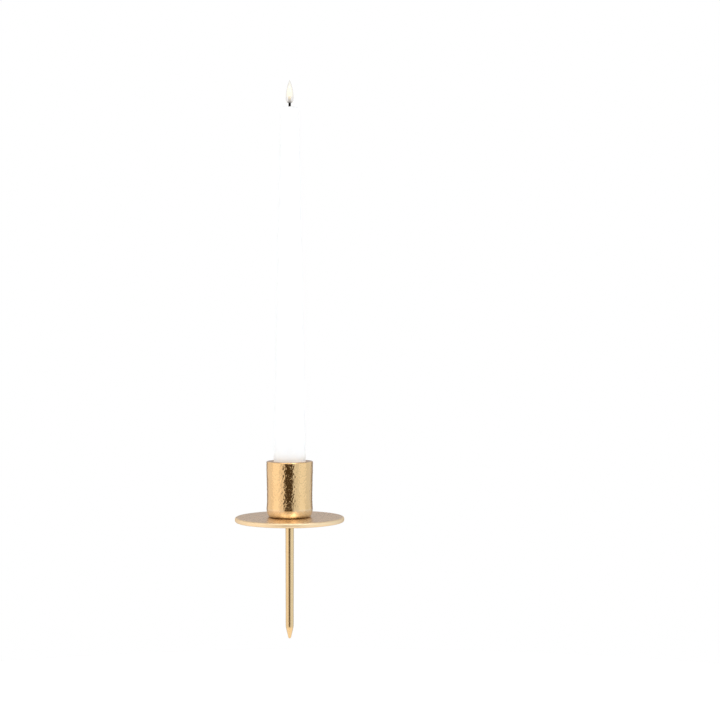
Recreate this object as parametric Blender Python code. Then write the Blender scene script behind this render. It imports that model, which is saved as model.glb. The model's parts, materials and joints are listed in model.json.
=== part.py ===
"""Altar candlestick on a spike, with its battery taper candle.

The candlestick is a cast cup and a drip plate, clamped to a pointed spike by the spike's own
stud and a nut in a well in the cup's floor. The candle stands in the cup. It is a wax shell on
a plastic core, which pulls up off a battery holder that closes the candle's foot. A flame-shaped
lens with an LED in it stands on a black wick above the wax.

Metres, +Z up. The origin is the middle of the drip plate's underside, where the plate comes to
rest once the spike is pushed in. The front, where the battery holder is open, is -Y.
"""

import math

import bmesh
import bpy
from mathutils import Matrix, Vector

MM = 0.001
GAP = 0.3 * MM  # between pieces that touch
OVERSHOOT = 1.0 * MM  # how far a cutter runs past the face it opens
MERGE = 1e-7

# Drip plate
PLATE_RADIUS = 37.5 * MM
PLATE_THICKNESS = 3.4 * MM
PLATE_EDGE = 0.9 * MM  # rounding of the rim
STUD_HOLE_RADIUS = 2.3 * MM
SEAT_RADIUS = 3.3 * MM  # shallow seat underneath, for the spike's shoulder
SEAT_DEPTH = 0.6 * MM

# Cup
CUP_HEIGHT = 37.8 * MM
CUP_RIM_RADIUS = 16.1 * MM
CUP_WAIST_RADIUS = 15.6 * MM
CUP_BELLY_RADIUS = 15.85 * MM
CUP_FOOT_RADIUS = 13.4 * MM
CUP_BELLY_HEIGHT = 6.0 * MM  # above the foot
CUP_WAIST_HEIGHT = 12.6 * MM
BORE_RADIUS = 11.3 * MM
CUP_FLOOR = 6.3 * MM  # thickness under the candle
WELL_RADIUS = 5.6 * MM
WELL_FLOOR = 2.4 * MM  # thickness under the washer
RIM_ROUND = 0.7 * MM

# Spike, with an M4 stud at its top
SPIKE_LENGTH = 80.0 * MM  # below the plate's underside
SPIKE_TOP_RADIUS = 2.9 * MM
SPIKE_END_RADIUS = 2.7 * MM
SPIKE_POINT_LENGTH = 8.0 * MM
SPIKE_POINT_RADIUS = 1.0 * MM
STUD_RADIUS = 1.95 * MM
NUT_BORE_RADIUS = 2.2 * MM
NUT_ACROSS_FLATS = 7.0 * MM
NUT_THICKNESS = 2.0 * MM
WASHER_RADIUS = 3.6 * MM
WASHER_THICKNESS = 0.9 * MM
WASHER_SPLIT = 0.8 * MM  # width of the gap in its ring

# Candle
CANDLE_RADIUS = 11.0 * MM  # the straight foot, in the cup
CANDLE_TOP_RADIUS = 6.4 * MM
CANDLE_LENGTH = 273.4 * MM
STRAIGHT_LENGTH = 36.0 * MM
WAX_WALL = 1.25 * MM
WAX_CAP = 4.0 * MM
DISH_DEPTH = 1.6 * MM
DISH_RADIUS = 4.9 * MM
WICK_HOLE_RADIUS = 1.15 * MM
WAX_LIP = 0.6 * MM  # chamfer at the foot
WAX_BROW = 1.2 * MM  # rounding at the top
CORE_CLEARANCE = 0.25 * MM
CORE_WALL = 1.0 * MM
LEDGE_DEPTH = 0.4 * MM
CORE_BORE_RADIUS = 7.3 * MM  # where the battery holder goes

# Battery holder, base cover and switch
COVER_RADIUS = 10.7 * MM
COVER_THICKNESS = 2.2 * MM
HOLDER_RADIUS = 7.0 * MM
FOOT_LENGTH = 11.4 * MM  # solid part under the batteries
BATTERY_RADIUS = 5.25 * MM
BATTERY_LENGTH = 44.5 * MM  # AAA, with its button
BUTTON_RADIUS = 1.9 * MM
BUTTON_HEIGHT = 0.9 * MM
CRADLE_BORE_RADIUS = 5.55 * MM
CRADLE_FRONT = -1.5 * MM  # the cradle is cut away in front of this plane
END_WALL = 1.4 * MM
SPRING_HEIGHT = 4.3 * MM
SPRING_RADIUS = 3.4 * MM
SPRING_TOP_RADIUS = 2.5 * MM
SPRING_WIRE_RADIUS = 0.25 * MM
SPRING_BEND = 0.9 * MM  # where its tail turns down
TAIL_SHOWN = 0.8 * MM  # of the tail, in the switch's pocket
RIVET_DISC = 0.4 * MM
RIVET_DISC_RADIUS = 2.5 * MM
RIVET_SHANK_RADIUS = 0.7 * MM
RIVET_HEAD = 0.6 * MM
RIVET_HEAD_RADIUS = 1.6 * MM
STRIP_WIDTH = 2.6 * MM
STRIP_THICKNESS = 0.3 * MM
STRIP_Y = 6.5 * MM
PAD_START_Y = 3.4 * MM
POCKET_SIZE = (9.6 * MM, 5.2 * MM, 5.9 * MM)
CASE_SIZE = (9.0 * MM, 4.6 * MM, 4.3 * MM)
CASE_WALL = 0.7 * MM
KNOB_TRAVEL = 3.0 * MM
KNOB_FOOT_SIZE = (3.6 * MM, 3.0 * MM, 1.2 * MM)
KNOB_STEM_SIZE = (2.6 * MM, 2.0 * MM)
SCREW_OFFSET = 5.0 * MM
SCREW_HEAD_RADIUS = 1.4 * MM
SCREW_SINK = 1.2 * MM
SCREW_SHANK_RADIUS = 0.65 * MM
SCREW_DEPTH = 3.6 * MM  # into the holder
RECESS_SIZE = (11.0 * MM, 5.4 * MM, 0.9 * MM)
KNOB_SUNK = 0.5 * MM  # below the cover's face

# Electronics above the battery holder
BOARD_RADIUS = 7.0 * MM
BOARD_THICKNESS = 1.0 * MM
BOARD_SPRING_RADIUS = 1.2 * MM
BOARD_SPRING_WIRE = 0.15 * MM
CHIP_SIZE = (4.9 * MM, 3.9 * MM, 1.4 * MM)
RESISTOR_SIZE = (2.0 * MM, 1.2 * MM, 0.55 * MM)
WIRE_RADIUS = 0.2 * MM
WIRE_SPACING = 0.66 * MM

# Wick and flame
WICK_RADIUS = 0.85 * MM
WICK_BORE_RADIUS = 0.62 * MM
WICK_SHOWN = 3.6 * MM  # above the wax
WICK_BURIED = 16.0 * MM  # in the wax, the plug and the core
PLUG_DEPTH = 8.0 * MM  # of the plug that holds it, in the core
FLAME_RADIUS = 2.6 * MM
FLAME_HEIGHT = 15.6 * MM
FLAME_WIDEST = 3.2 * MM  # above its foot
LED_RADIUS = 1.0 * MM
LED_HEIGHT = 4.1 * MM
SOCKET_RADIUS = 1.35 * MM

# Heights that follow from the dimensions above
CUP_BASE_Z = PLATE_THICKNESS + GAP
CUP_TOP_Z = CUP_BASE_Z + CUP_HEIGHT
WELL_Z = CUP_BASE_Z + WELL_FLOOR
CANDLE_Z = CUP_BASE_Z + CUP_FLOOR + GAP
CANDLE_TOP_Z = CANDLE_Z + CANDLE_LENGTH
COVER_TOP_Z = CANDLE_Z + COVER_THICKNESS
TUBE_Z = COVER_TOP_Z + GAP  # where wax, core and battery holder start
POCKET_TOP_Z = TUBE_Z + POCKET_SIZE[2]
CASE_Z = TUBE_Z + GAP
SCREW_SEAT_Z = CANDLE_Z + SCREW_SINK
STRIP_SLOT_Z = POCKET_TOP_Z - 1.4 * MM
CHAMBER_Z = TUBE_Z + FOOT_LENGTH
LOWER_BATTERY_Z = CHAMBER_Z + SPRING_HEIGHT + 2 * GAP
UPPER_BATTERY_Z = LOWER_BATTERY_Z + BATTERY_LENGTH + GAP
RIVET_Z = UPPER_BATTERY_Z + BATTERY_LENGTH + GAP
CHAMBER_TOP_Z = RIVET_Z + RIVET_DISC + GAP
HOLDER_TOP_Z = CHAMBER_TOP_Z + END_WALL
BOARD_Z = HOLDER_TOP_Z + 3.4 * MM  # room for the board's springs
BOARD_TOP_Z = BOARD_Z + BOARD_THICKNESS
CORE_TOP_Z = CANDLE_TOP_Z - WAX_CAP - 2.2 * MM
WICK_TOP_Z = CANDLE_TOP_Z + WICK_SHOWN
PAD_MIDDLE_Y = (PAD_START_Y + STRIP_Y + STRIP_THICKNESS) / 2

# name: (colour, roughness, metallic)
MATERIALS = {
    "cast_brass": ((0.79, 0.53, 0.22), 0.30, 1.0),
    "plated_steel": ((0.62, 0.63, 0.65), 0.35, 1.0),
    "spring_nickel": ((0.72, 0.70, 0.66), 0.25, 1.0),
    "wax": ((0.93, 0.92, 0.90), 0.45, 0.0),
    "white_plastic": ((0.88, 0.88, 0.86), 0.40, 0.0),
    "black_plastic": ((0.02, 0.02, 0.02), 0.50, 0.0),
    "battery_jacket": ((0.05, 0.16, 0.22), 0.35, 0.0),
    "board": ((0.03, 0.22, 0.10), 0.45, 0.0),
    "copper": ((0.72, 0.36, 0.20), 0.30, 1.0),
    "clear_lens": ((0.98, 0.88, 0.62), 0.20, 0.0),
}


def clear_scene():
    for obj in list(bpy.data.objects):
        bpy.data.objects.remove(obj)


def material(name):
    """The named Principled material, made the first time it is asked for."""
    found = bpy.data.materials.get(name)
    if found:
        return found
    colour, roughness, metallic = MATERIALS[name]
    made = bpy.data.materials.new(name)
    made.use_nodes = True
    shader = made.node_tree.nodes["Principled BSDF"]
    shader.inputs["Base Color"].default_value = (*colour, 1.0)
    shader.inputs["Roughness"].default_value = roughness
    shader.inputs["Metallic"].default_value = metallic
    return made


def add_mesh(name, mesh_data, finish=None):
    """Links an object for this bmesh, which it frees. With no finish it is a cutter."""
    mesh = bpy.data.meshes.new(name)
    mesh_data.to_mesh(mesh)
    mesh_data.free()
    obj = bpy.data.objects.new(name, mesh)
    bpy.context.scene.collection.objects.link(obj)
    if finish is None:
        obj.hide_render = True
        obj.display_type = "WIRE"
    else:
        mesh.materials.append(material(finish))
        mesh.shade_smooth()
        mesh.set_sharp_from_angle(angle=math.radians(35))
    return obj


def arc(centre_r, centre_z, radius_r, radius_z, start, end, steps):
    """Points on an elliptical arc in the (r, z) plane, angles in degrees from +r."""
    points = []
    for i in range(steps + 1):
        angle = math.radians(start + (end - start) * i / steps)
        points.append((centre_r + radius_r * math.cos(angle), centre_z + radius_z * math.sin(angle)))
    return points


def turned(name, outline, finish=None, segments=48, centre=(0.0, 0.0)):
    """A solid turned about a vertical axis from a closed outline of (r, z) points."""
    bm = bmesh.new()
    ring = [bm.verts.new((r, 0.0, z)) for r, z in outline]
    pairs = zip(ring, ring[1:] + ring[:1])
    edges = [bm.edges.new(pair) for pair in pairs if pair[0].co.x > 0 or pair[1].co.x > 0]
    bmesh.ops.spin(bm, geom=ring + edges, cent=(0, 0, 0), axis=(0, 0, 1), dvec=(0, 0, 0),
                   angle=math.tau, steps=segments, use_merge=True)
    bmesh.ops.remove_doubles(bm, verts=bm.verts, dist=MERGE)
    bmesh.ops.recalc_face_normals(bm, faces=bm.faces)
    obj = add_mesh(name, bm, finish)
    obj.location = (*centre, 0.0)
    return obj


def block(name, size, low, finish=None, centre=(0.0, 0.0)):
    """A box of this size, centred on (x, y), standing on z = low."""
    bm = bmesh.new()
    bmesh.ops.create_cube(bm, size=1.0)
    bmesh.ops.scale(bm, vec=size, verts=bm.verts)
    obj = add_mesh(name, bm, finish)
    obj.location = (*centre, low + size[2] / 2)
    return obj


def rod(name, radius, low, high, finish=None, centre=(0.0, 0.0), segments=16):
    """A plain vertical cylinder."""
    outline = [(0.0, low), (radius, low), (radius, high), (0.0, high)]
    return turned(name, outline, finish, segments, centre)


def prism(name, outline, depth, finish):
    """An outline of (y, z) points, extruded along X and centred on it."""
    bm = bmesh.new()
    face = bm.faces.new([bm.verts.new((-depth / 2, y, z)) for y, z in outline])
    moved = bmesh.ops.extrude_face_region(bm, geom=[face])["geom"]
    far_side = [item for item in moved if isinstance(item, bmesh.types.BMVert)]
    bmesh.ops.translate(bm, vec=(depth, 0, 0), verts=far_side)
    bmesh.ops.recalc_face_normals(bm, faces=bm.faces)
    return add_mesh(name, bm, finish)


def combine(obj, other, operation="DIFFERENCE"):
    """Cuts obj with another solid, or joins the two. The other one is kept as a hidden helper."""
    modifier = obj.modifiers.new(operation.title() + "_" + other.name, "BOOLEAN")
    modifier.operation = operation
    modifier.object = other
    modifier.solver = "EXACT"
    other.hide_render = True
    other.display_type = "WIRE"


def bore(body, radius, low, high, centre=(0.0, 0.0), segments=12):
    """Cuts a round vertical hole."""
    cutter = rod(f"{body.name}_bore_{len(body.modifiers)}", radius, low, high, None, centre, segments)
    combine(body, cutter)


def mill(body, size, low, centre=(0.0, 0.0)):
    """Cuts a rectangular pocket or slot."""
    combine(body, block(f"{body.name}_slot_{len(body.modifiers)}", size, low, None, centre))


def wire(name, points, radius, finish, sides=6):
    """A round wire through these points, with flat ends."""
    curve = bpy.data.curves.new(name, "CURVE")
    curve.dimensions = "3D"
    curve.bevel_depth = radius
    curve.bevel_resolution = (sides - 4) // 2
    curve.use_fill_caps = True
    spline = curve.splines.new("POLY")
    spline.points.add(len(points) - 1)
    for point, place in zip(spline.points, points):
        point.co = (*place, 1.0)
    curve.materials.append(material(finish))
    obj = bpy.data.objects.new(name, curve)
    bpy.context.scene.collection.objects.link(obj)
    return obj


def coil(low, high, radius_low, radius_high, turns, per_turn=12, centre=(0.0, 0.0)):
    """Centreline of a conical spring, bottom to top."""
    count = round(turns * per_turn)
    points = []
    for i in range(count + 1):
        share = i / count
        angle = math.tau * turns * share
        radius = radius_low + (radius_high - radius_low) * share
        points.append((centre[0] + radius * math.cos(angle),
                       centre[1] + radius * math.sin(angle),
                       low + (high - low) * share))
    return points


def smooth_route(stations, per_span=6):
    """Points on the Catmull-Rom curve through these stations."""
    places = [Vector(s) for s in stations]
    padded = [2 * places[0] - places[1], *places, 2 * places[-1] - places[-2]]
    route = []
    for a, b, c, d in zip(padded, padded[1:], padded[2:], padded[3:]):
        for i in range(per_span):
            t = i / per_span
            route.append(0.5 * (2 * b + (c - a) * t + (2 * a - 5 * b + 4 * c - d) * t**2
                                + (3 * b - a - 3 * c + d) * t**3))
    return route + [places[-1]]


def grouped(name, place, members):
    """Parents the members to an empty at this place, and leaves them where they stand."""
    empty = bpy.data.objects.new(name, None)
    empty.location = place
    bpy.context.scene.collection.objects.link(empty)
    for member in members:
        member.parent = empty
        member.matrix_parent_inverse = Matrix.Translation(place).inverted()


def wax_radius(z):
    """Outer radius of the candle: straight in the cup, then an even taper to the top."""
    start = CANDLE_Z + STRAIGHT_LENGTH
    share = max(0.0, (z - start) / (CANDLE_TOP_Z - start))
    return CANDLE_RADIUS + (CANDLE_TOP_RADIUS - CANDLE_RADIUS) * share


# Candlestick


def drip_plate():
    edge = PLATE_EDGE
    rim = PLATE_RADIUS - edge
    outline = [(STUD_HOLE_RADIUS, SEAT_DEPTH), (SEAT_RADIUS, SEAT_DEPTH), (SEAT_RADIUS, 0.0)]
    outline += arc(rim, edge, edge, edge, -90, 0, 3)
    outline += arc(rim, PLATE_THICKNESS - edge, edge, edge, 0, 90, 3)
    outline.append((STUD_HOLE_RADIUS, PLATE_THICKNESS))
    return turned("drip_plate", outline, "cast_brass", segments=64)


def candle_cup():
    belly_z = CUP_BASE_Z + CUP_BELLY_HEIGHT
    waist_z = CUP_BASE_Z + CUP_WAIST_HEIGHT
    floor_z = CUP_BASE_Z + CUP_FLOOR
    outline = [(STUD_HOLE_RADIUS, CUP_BASE_Z)]
    outline += arc(CUP_FOOT_RADIUS, belly_z, CUP_BELLY_RADIUS - CUP_FOOT_RADIUS,
                   CUP_BELLY_HEIGHT, -90, 0, 5)
    outline.append((CUP_WAIST_RADIUS, waist_z))
    outline += arc(CUP_RIM_RADIUS - RIM_ROUND, CUP_TOP_Z - RIM_ROUND, RIM_ROUND, RIM_ROUND, 0, 90, 2)
    outline += arc(BORE_RADIUS + RIM_ROUND, CUP_TOP_Z - RIM_ROUND, RIM_ROUND, RIM_ROUND, 90, 180, 2)
    outline += [(BORE_RADIUS, floor_z), (WELL_RADIUS, floor_z), (WELL_RADIUS, WELL_Z),
                (STUD_HOLE_RADIUS, WELL_Z)]
    return turned("candle_cup", outline, "cast_brass")


def spike():
    shoulder = SEAT_DEPTH - GAP
    tip_z = -SPIKE_LENGTH
    tip = SPIKE_POINT_RADIUS
    stud_top = WELL_Z + WASHER_THICKNESS + NUT_THICKNESS + 2 * GAP
    outline = [(0.0, tip_z)]
    outline += arc(0.0, tip_z + tip, tip, tip, -60, -15, 2)
    outline += [(SPIKE_END_RADIUS, tip_z + SPIKE_POINT_LENGTH), (SPIKE_TOP_RADIUS, shoulder),
                (STUD_RADIUS, shoulder), (STUD_RADIUS, stud_top), (0.0, stud_top)]
    return turned("spike", outline, "cast_brass", segments=24)


def lock_washer():
    low = WELL_Z + GAP
    high = low + WASHER_THICKNESS
    outline = [(NUT_BORE_RADIUS, low), (WASHER_RADIUS, low), (WASHER_RADIUS, high), (NUT_BORE_RADIUS, high)]
    washer = turned("lock_washer", outline, "plated_steel", segments=24)
    split_size = (2 * WASHER_RADIUS, WASHER_SPLIT, 2 * OVERSHOOT + WASHER_THICKNESS)
    mill(washer, split_size, low - OVERSHOOT, centre=(WASHER_RADIUS, 0.0))
    return washer


def clamp_nut():
    low = WELL_Z + WASHER_THICKNESS + 2 * GAP
    corner_radius = NUT_ACROSS_FLATS / math.sqrt(3)
    nut = rod("clamp_nut", corner_radius, low, low + NUT_THICKNESS, "plated_steel", segments=6)
    bore(nut, NUT_BORE_RADIUS, low - OVERSHOOT, low + NUT_THICKNESS + OVERSHOOT, segments=16)
    return nut


# Battery holder, which closes the candle's foot


def battery_holder():
    """Plug and open cradle in one moulding: the switch's pocket below, the batteries' chamber above."""
    body = rod("battery_holder", HOLDER_RADIUS, TUBE_Z, HOLDER_TOP_Z, "white_plastic", segments=32)
    bore(body, CRADLE_BORE_RADIUS, CHAMBER_Z, CHAMBER_TOP_Z, segments=32)
    front_size = (4 * HOLDER_RADIUS, 2 * HOLDER_RADIUS, CHAMBER_TOP_Z - CHAMBER_Z)
    mill(body, front_size, CHAMBER_Z, centre=(0.0, CRADLE_FRONT - HOLDER_RADIUS))
    pocket_size = (POCKET_SIZE[0], POCKET_SIZE[1], POCKET_SIZE[2] + OVERSHOOT)
    mill(body, pocket_size, TUBE_Z - OVERSHOOT)

    slot_width = STRIP_WIDTH + 2 * GAP
    groove_size = (slot_width, HOLDER_RADIUS, HOLDER_TOP_Z - STRIP_SLOT_Z + OVERSHOOT)
    mill(body, groove_size, STRIP_SLOT_Z, centre=(0.0, STRIP_Y - GAP + HOLDER_RADIUS / 2))
    slot_size = (slot_width, HOLDER_RADIUS, STRIP_THICKNESS + 3 * GAP)
    mill(body, slot_size, STRIP_SLOT_Z, centre=(0.0, POCKET_SIZE[1] / 2 - GAP + HOLDER_RADIUS / 2))

    for side in (-1, 1):
        bore(body, SCREW_SHANK_RADIUS + GAP, TUBE_Z - OVERSHOOT, TUBE_Z + SCREW_DEPTH + GAP,
             centre=(0.0, side * SCREW_OFFSET))
    bore(body, SPRING_WIRE_RADIUS + GAP, POCKET_TOP_Z - OVERSHOOT, CHAMBER_Z + OVERSHOOT,
         centre=(SPRING_RADIUS, -SPRING_BEND))
    bore(body, RIVET_SHANK_RADIUS + GAP, CHAMBER_TOP_Z - OVERSHOOT, HOLDER_TOP_Z + OVERSHOOT)
    return body


def base_cover():
    """Round cover under the holder: the switch's window in a finger recess, and two sunk screw holes."""
    cover = rod("base_cover", COVER_RADIUS, CANDLE_Z, COVER_TOP_Z, "white_plastic", segments=40)
    mill(cover, (RECESS_SIZE[0], RECESS_SIZE[1], RECESS_SIZE[2] + OVERSHOOT), CANDLE_Z - OVERSHOOT)
    window_size = (KNOB_STEM_SIZE[0] + KNOB_TRAVEL + 4 * GAP, KNOB_STEM_SIZE[1] + 3 * GAP,
                   COVER_THICKNESS + OVERSHOOT)
    mill(cover, window_size, CANDLE_Z + RECESS_SIZE[2] / 2)
    head = SCREW_HEAD_RADIUS + GAP
    shank = SCREW_SHANK_RADIUS + GAP
    low, high = CANDLE_Z - OVERSHOOT, COVER_TOP_Z + OVERSHOOT
    outline = [(0.0, low), (head, low), (head, SCREW_SEAT_Z), (shank, SCREW_SEAT_Z),
               (shank, high), (0.0, high)]
    for side in (-1, 1):
        combine(cover, turned(f"screw_sink_{side}", outline, segments=16, centre=(0.0, side * SCREW_OFFSET)))
    return cover


def cover_screw(label, side):
    """Pan-head screw with a cone point, up through the cover into the holder."""
    head_top = SCREW_SEAT_Z - GAP
    point_z = TUBE_Z + SCREW_DEPTH
    outline = [(0.0, CANDLE_Z + GAP), (SCREW_HEAD_RADIUS, CANDLE_Z + GAP), (SCREW_HEAD_RADIUS, head_top),
               (SCREW_SHANK_RADIUS, head_top), (SCREW_SHANK_RADIUS, point_z - SCREW_SHANK_RADIUS),
               (0.0, point_z)]
    return turned(f"cover_screw_{label}", outline, "plated_steel", 16, centre=(0.0, side * SCREW_OFFSET))


def switch_case():
    """Steel case with the knob's slot in its floor."""
    width, depth, height = CASE_SIZE
    case = block("switch_case", CASE_SIZE, CASE_Z, "plated_steel")
    inside = (width - 2 * CASE_WALL, depth - 2 * CASE_WALL, height - 2 * CASE_WALL)
    mill(case, inside, CASE_Z + CASE_WALL)
    slot_size = (KNOB_STEM_SIZE[0] + KNOB_TRAVEL + 3 * GAP, KNOB_STEM_SIZE[1] + 2 * GAP, 2 * OVERSHOOT)
    mill(case, slot_size, CASE_Z - OVERSHOOT)
    return case


def switch_knob():
    """Knob at the -X end of its travel: a foot inside the case, a stem down to the finger recess."""
    foot_z = CASE_Z + CASE_WALL + GAP
    stem_z = CANDLE_Z + KNOB_SUNK
    start = (-KNOB_TRAVEL / 2, 0.0)
    knob = block("switch_knob", KNOB_FOOT_SIZE, foot_z, "black_plastic", start)
    stem_height = foot_z + KNOB_FOOT_SIZE[2] / 2 - stem_z
    stem = block("knob_stem", (*KNOB_STEM_SIZE, stem_height), stem_z, centre=start)
    combine(knob, stem, "UNION")
    return knob


def battery(name, low):
    """AAA cell, button up: a steel can with rolled ends."""
    shoulder = low + BATTERY_LENGTH - BUTTON_HEIGHT
    roll = 0.5 * MM
    outline = [(0.0, low), (BATTERY_RADIUS - roll, low), (BATTERY_RADIUS, low + roll),
               (BATTERY_RADIUS, shoulder - roll), (BATTERY_RADIUS - roll, shoulder),
               (BUTTON_RADIUS, shoulder), (BUTTON_RADIUS, low + BATTERY_LENGTH), (0.0, low + BATTERY_LENGTH)]
    return turned(name, outline, "battery_jacket", segments=28)


def negative_spring():
    """Conical coil under the lower battery, with a tail that runs down to the switch."""
    low = CHAMBER_Z + GAP + SPRING_WIRE_RADIUS
    high = CHAMBER_Z + GAP + SPRING_HEIGHT - SPRING_WIRE_RADIUS
    bend_steps = 4
    route = [(SPRING_RADIUS, -SPRING_BEND, POCKET_TOP_Z - TAIL_SHOWN)]
    for i in range(bend_steps):
        angle = math.pi / 2 * i / bend_steps
        route.append((SPRING_RADIUS, -SPRING_BEND * math.cos(angle),
                      low - SPRING_BEND + SPRING_BEND * math.sin(angle)))
    route += coil(low, high, SPRING_RADIUS, SPRING_TOP_RADIUS, 4)
    return wire("negative_spring", route, SPRING_WIRE_RADIUS, "spring_nickel")


def positive_rivet():
    """Contact rivet through the top wall: a disc over the battery's button, a head outside."""
    disc_top = RIVET_Z + RIVET_DISC
    head_z = HOLDER_TOP_Z + GAP
    outline = [(0.0, RIVET_Z), (RIVET_DISC_RADIUS, RIVET_Z), (RIVET_DISC_RADIUS, disc_top),
               (RIVET_SHANK_RADIUS, disc_top), (RIVET_SHANK_RADIUS, head_z), (RIVET_HEAD_RADIUS, head_z)]
    outline += arc(0.0, head_z + RIVET_HEAD / 2, RIVET_HEAD_RADIUS, RIVET_HEAD / 2, 0, 90, 2)
    return turned("positive_rivet", outline, "spring_nickel", segments=20)


def return_strip():
    """Flat strip from the switch up the cradle's back, bent over its top as a contact pad."""
    outer = STRIP_Y + STRIP_THICKNESS
    start = POCKET_SIZE[1] / 2 + GAP
    foot_z = STRIP_SLOT_Z + GAP
    pad_z = HOLDER_TOP_Z + GAP
    outline = [(start, foot_z), (outer, foot_z), (outer, pad_z + STRIP_THICKNESS),
               (PAD_START_Y, pad_z + STRIP_THICKNESS), (PAD_START_Y, pad_z), (STRIP_Y, pad_z),
               (STRIP_Y, foot_z + STRIP_THICKNESS), (start, foot_z + STRIP_THICKNESS)]
    return prism("return_strip", outline, STRIP_WIDTH, "spring_nickel")


# Candle that pulls up off the battery holder


def wax_shell():
    """Tapered wax, open below, with a shallow burnt-down dish and the wick's hole on top."""
    top = CANDLE_TOP_Z
    taper_z = CANDLE_Z + STRAIGHT_LENGTH
    ceiling = top - WAX_CAP
    outline = [(CANDLE_RADIUS - WAX_WALL, TUBE_Z), (CANDLE_RADIUS - WAX_LIP, TUBE_Z),
               (CANDLE_RADIUS, TUBE_Z + WAX_LIP), (CANDLE_RADIUS, taper_z)]
    outline += arc(CANDLE_TOP_RADIUS - WAX_BROW, top - WAX_BROW, WAX_BROW, WAX_BROW, 0, 90, 3)
    outline += [(0.85 * DISH_RADIUS, top - 0.3 * DISH_DEPTH), (0.5 * DISH_RADIUS, top - 0.85 * DISH_DEPTH),
                (WICK_HOLE_RADIUS, top - DISH_DEPTH), (WICK_HOLE_RADIUS, ceiling),
                (wax_radius(ceiling) - WAX_WALL, ceiling), (CANDLE_RADIUS - WAX_WALL, taper_z)]
    return turned("wax_shell", outline, "wax")


def core_tube():
    """Plastic core inside the wax: a wide bore for the battery holder, a ledge for the board."""
    inset = WAX_WALL + CORE_CLEARANCE
    narrow = inset + CORE_WALL
    ledge_z = BOARD_TOP_Z + GAP
    taper_z = CANDLE_Z + STRAIGHT_LENGTH
    outline = [(CORE_BORE_RADIUS, TUBE_Z), (CANDLE_RADIUS - inset, TUBE_Z), (CANDLE_RADIUS - inset, taper_z),
               (wax_radius(CORE_TOP_Z) - inset, CORE_TOP_Z), (wax_radius(CORE_TOP_Z) - narrow, CORE_TOP_Z),
               (wax_radius(ledge_z) - narrow - LEDGE_DEPTH, ledge_z), (CORE_BORE_RADIUS, ledge_z)]
    return turned("core_tube", outline, "white_plastic", segments=36)


def board_parts():
    """Round board with the timer chip and a resistor on top."""
    top = BOARD_TOP_Z + GAP
    return [rod("circuit_board", BOARD_RADIUS, BOARD_Z, BOARD_TOP_Z, "board", segments=32),
            block("timer_chip", CHIP_SIZE, top, "black_plastic", centre=(0.0, -CHIP_SIZE[1] / 2)),
            block("resistor", RESISTOR_SIZE, top, "black_plastic",
                  centre=(-CHIP_SIZE[0] / 2, CHIP_SIZE[1] / 2))]


def board_spring(name, pad_top, y):
    """Small coil under the board, which meets a contact on the battery holder's top."""
    low = pad_top + GAP + BOARD_SPRING_WIRE
    high = BOARD_Z - GAP - BOARD_SPRING_WIRE
    path = coil(low, high, 0.6 * BOARD_SPRING_RADIUS, BOARD_SPRING_RADIUS, 2.5, 10, centre=(0.0, y))
    return wire(name, path, BOARD_SPRING_WIRE, "spring_nickel")


def led_wire(name, side):
    """Enamelled wire from the board up through the core and the wick to the LED."""
    start_z = BOARD_TOP_Z + GAP
    neck_z = CANDLE_TOP_Z - WICK_BURIED - OVERSHOOT
    span = neck_z - start_z
    x = side * WIRE_SPACING / 2
    stations = [(side * 1.2 * MM, 3.0 * MM, start_z), (side * 1.3 * MM, 3.0 * MM, start_z + 0.12 * span),
                (side * 2.0 * MM, 0.6 * MM, start_z + 0.4 * span),
                (side * 1.5 * MM, -0.8 * MM, start_z + 0.7 * span), (x, 0.0, neck_z), (x, 0.0, WICK_TOP_Z)]
    return wire(name, smooth_route(stations, 4), WIRE_RADIUS, "copper", sides=8)


def wick_plug():
    """Stepped plug in the core's top, which holds the wick upright."""
    flange_z = CORE_TOP_Z + GAP
    flange_top = CANDLE_TOP_Z - WAX_CAP - GAP
    body = wax_radius(CORE_TOP_Z) - WAX_WALL - CORE_CLEARANCE - CORE_WALL - GAP
    hole = WICK_RADIUS + GAP
    outline = [(hole, CORE_TOP_Z - PLUG_DEPTH), (body, CORE_TOP_Z - PLUG_DEPTH), (body, flange_z),
               (body + CORE_WALL, flange_z), (body + CORE_WALL, flange_top), (hole, flange_top)]
    return turned("wick_plug", outline, "white_plastic", segments=24)


def wick_sleeve():
    low = CANDLE_TOP_Z - WICK_BURIED
    outline = [(WICK_BORE_RADIUS, low), (WICK_RADIUS, low), (WICK_RADIUS, WICK_TOP_Z),
               (WICK_BORE_RADIUS, WICK_TOP_Z)]
    return turned("wick_sleeve", outline, "black_plastic", segments=16)


def led():
    """Domed LED on the wick's end, with a flange at its foot."""
    flange_z = WICK_TOP_Z + GAP
    flange_radius = (LED_RADIUS + SOCKET_RADIUS) / 2
    flange_top = flange_z + 0.15 * LED_HEIGHT
    outline = [(0.0, flange_z), (flange_radius, flange_z), (flange_radius, flange_top),
               (LED_RADIUS, flange_top)]
    outline += arc(0.0, flange_z + LED_HEIGHT - LED_RADIUS, LED_RADIUS, LED_RADIUS, 0, 90, 4)
    return turned("led", outline, "clear_lens", segments=16)


def flame_lens():
    """Teardrop lens with a blunt foot, hollow below, where the LED stands in it."""
    widest_z = WICK_TOP_Z + FLAME_WIDEST
    outline = arc(SOCKET_RADIUS, widest_z, FLAME_RADIUS - SOCKET_RADIUS, FLAME_WIDEST, -90, 0, 4)
    rise = FLAME_HEIGHT - FLAME_WIDEST
    steps = 8
    for i in range(1, steps + 1):
        share = i / steps
        outline.append((FLAME_RADIUS * (1 - share**1.9) ** 0.9, widest_z + rise * share))
    dome_z = WICK_TOP_Z + LED_HEIGHT + 2 * GAP - LED_RADIUS
    outline += arc(0.0, dome_z, SOCKET_RADIUS, SOCKET_RADIUS, 90, 0, 3)
    return turned("flame_lens", outline, "clear_lens", segments=24)


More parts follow.
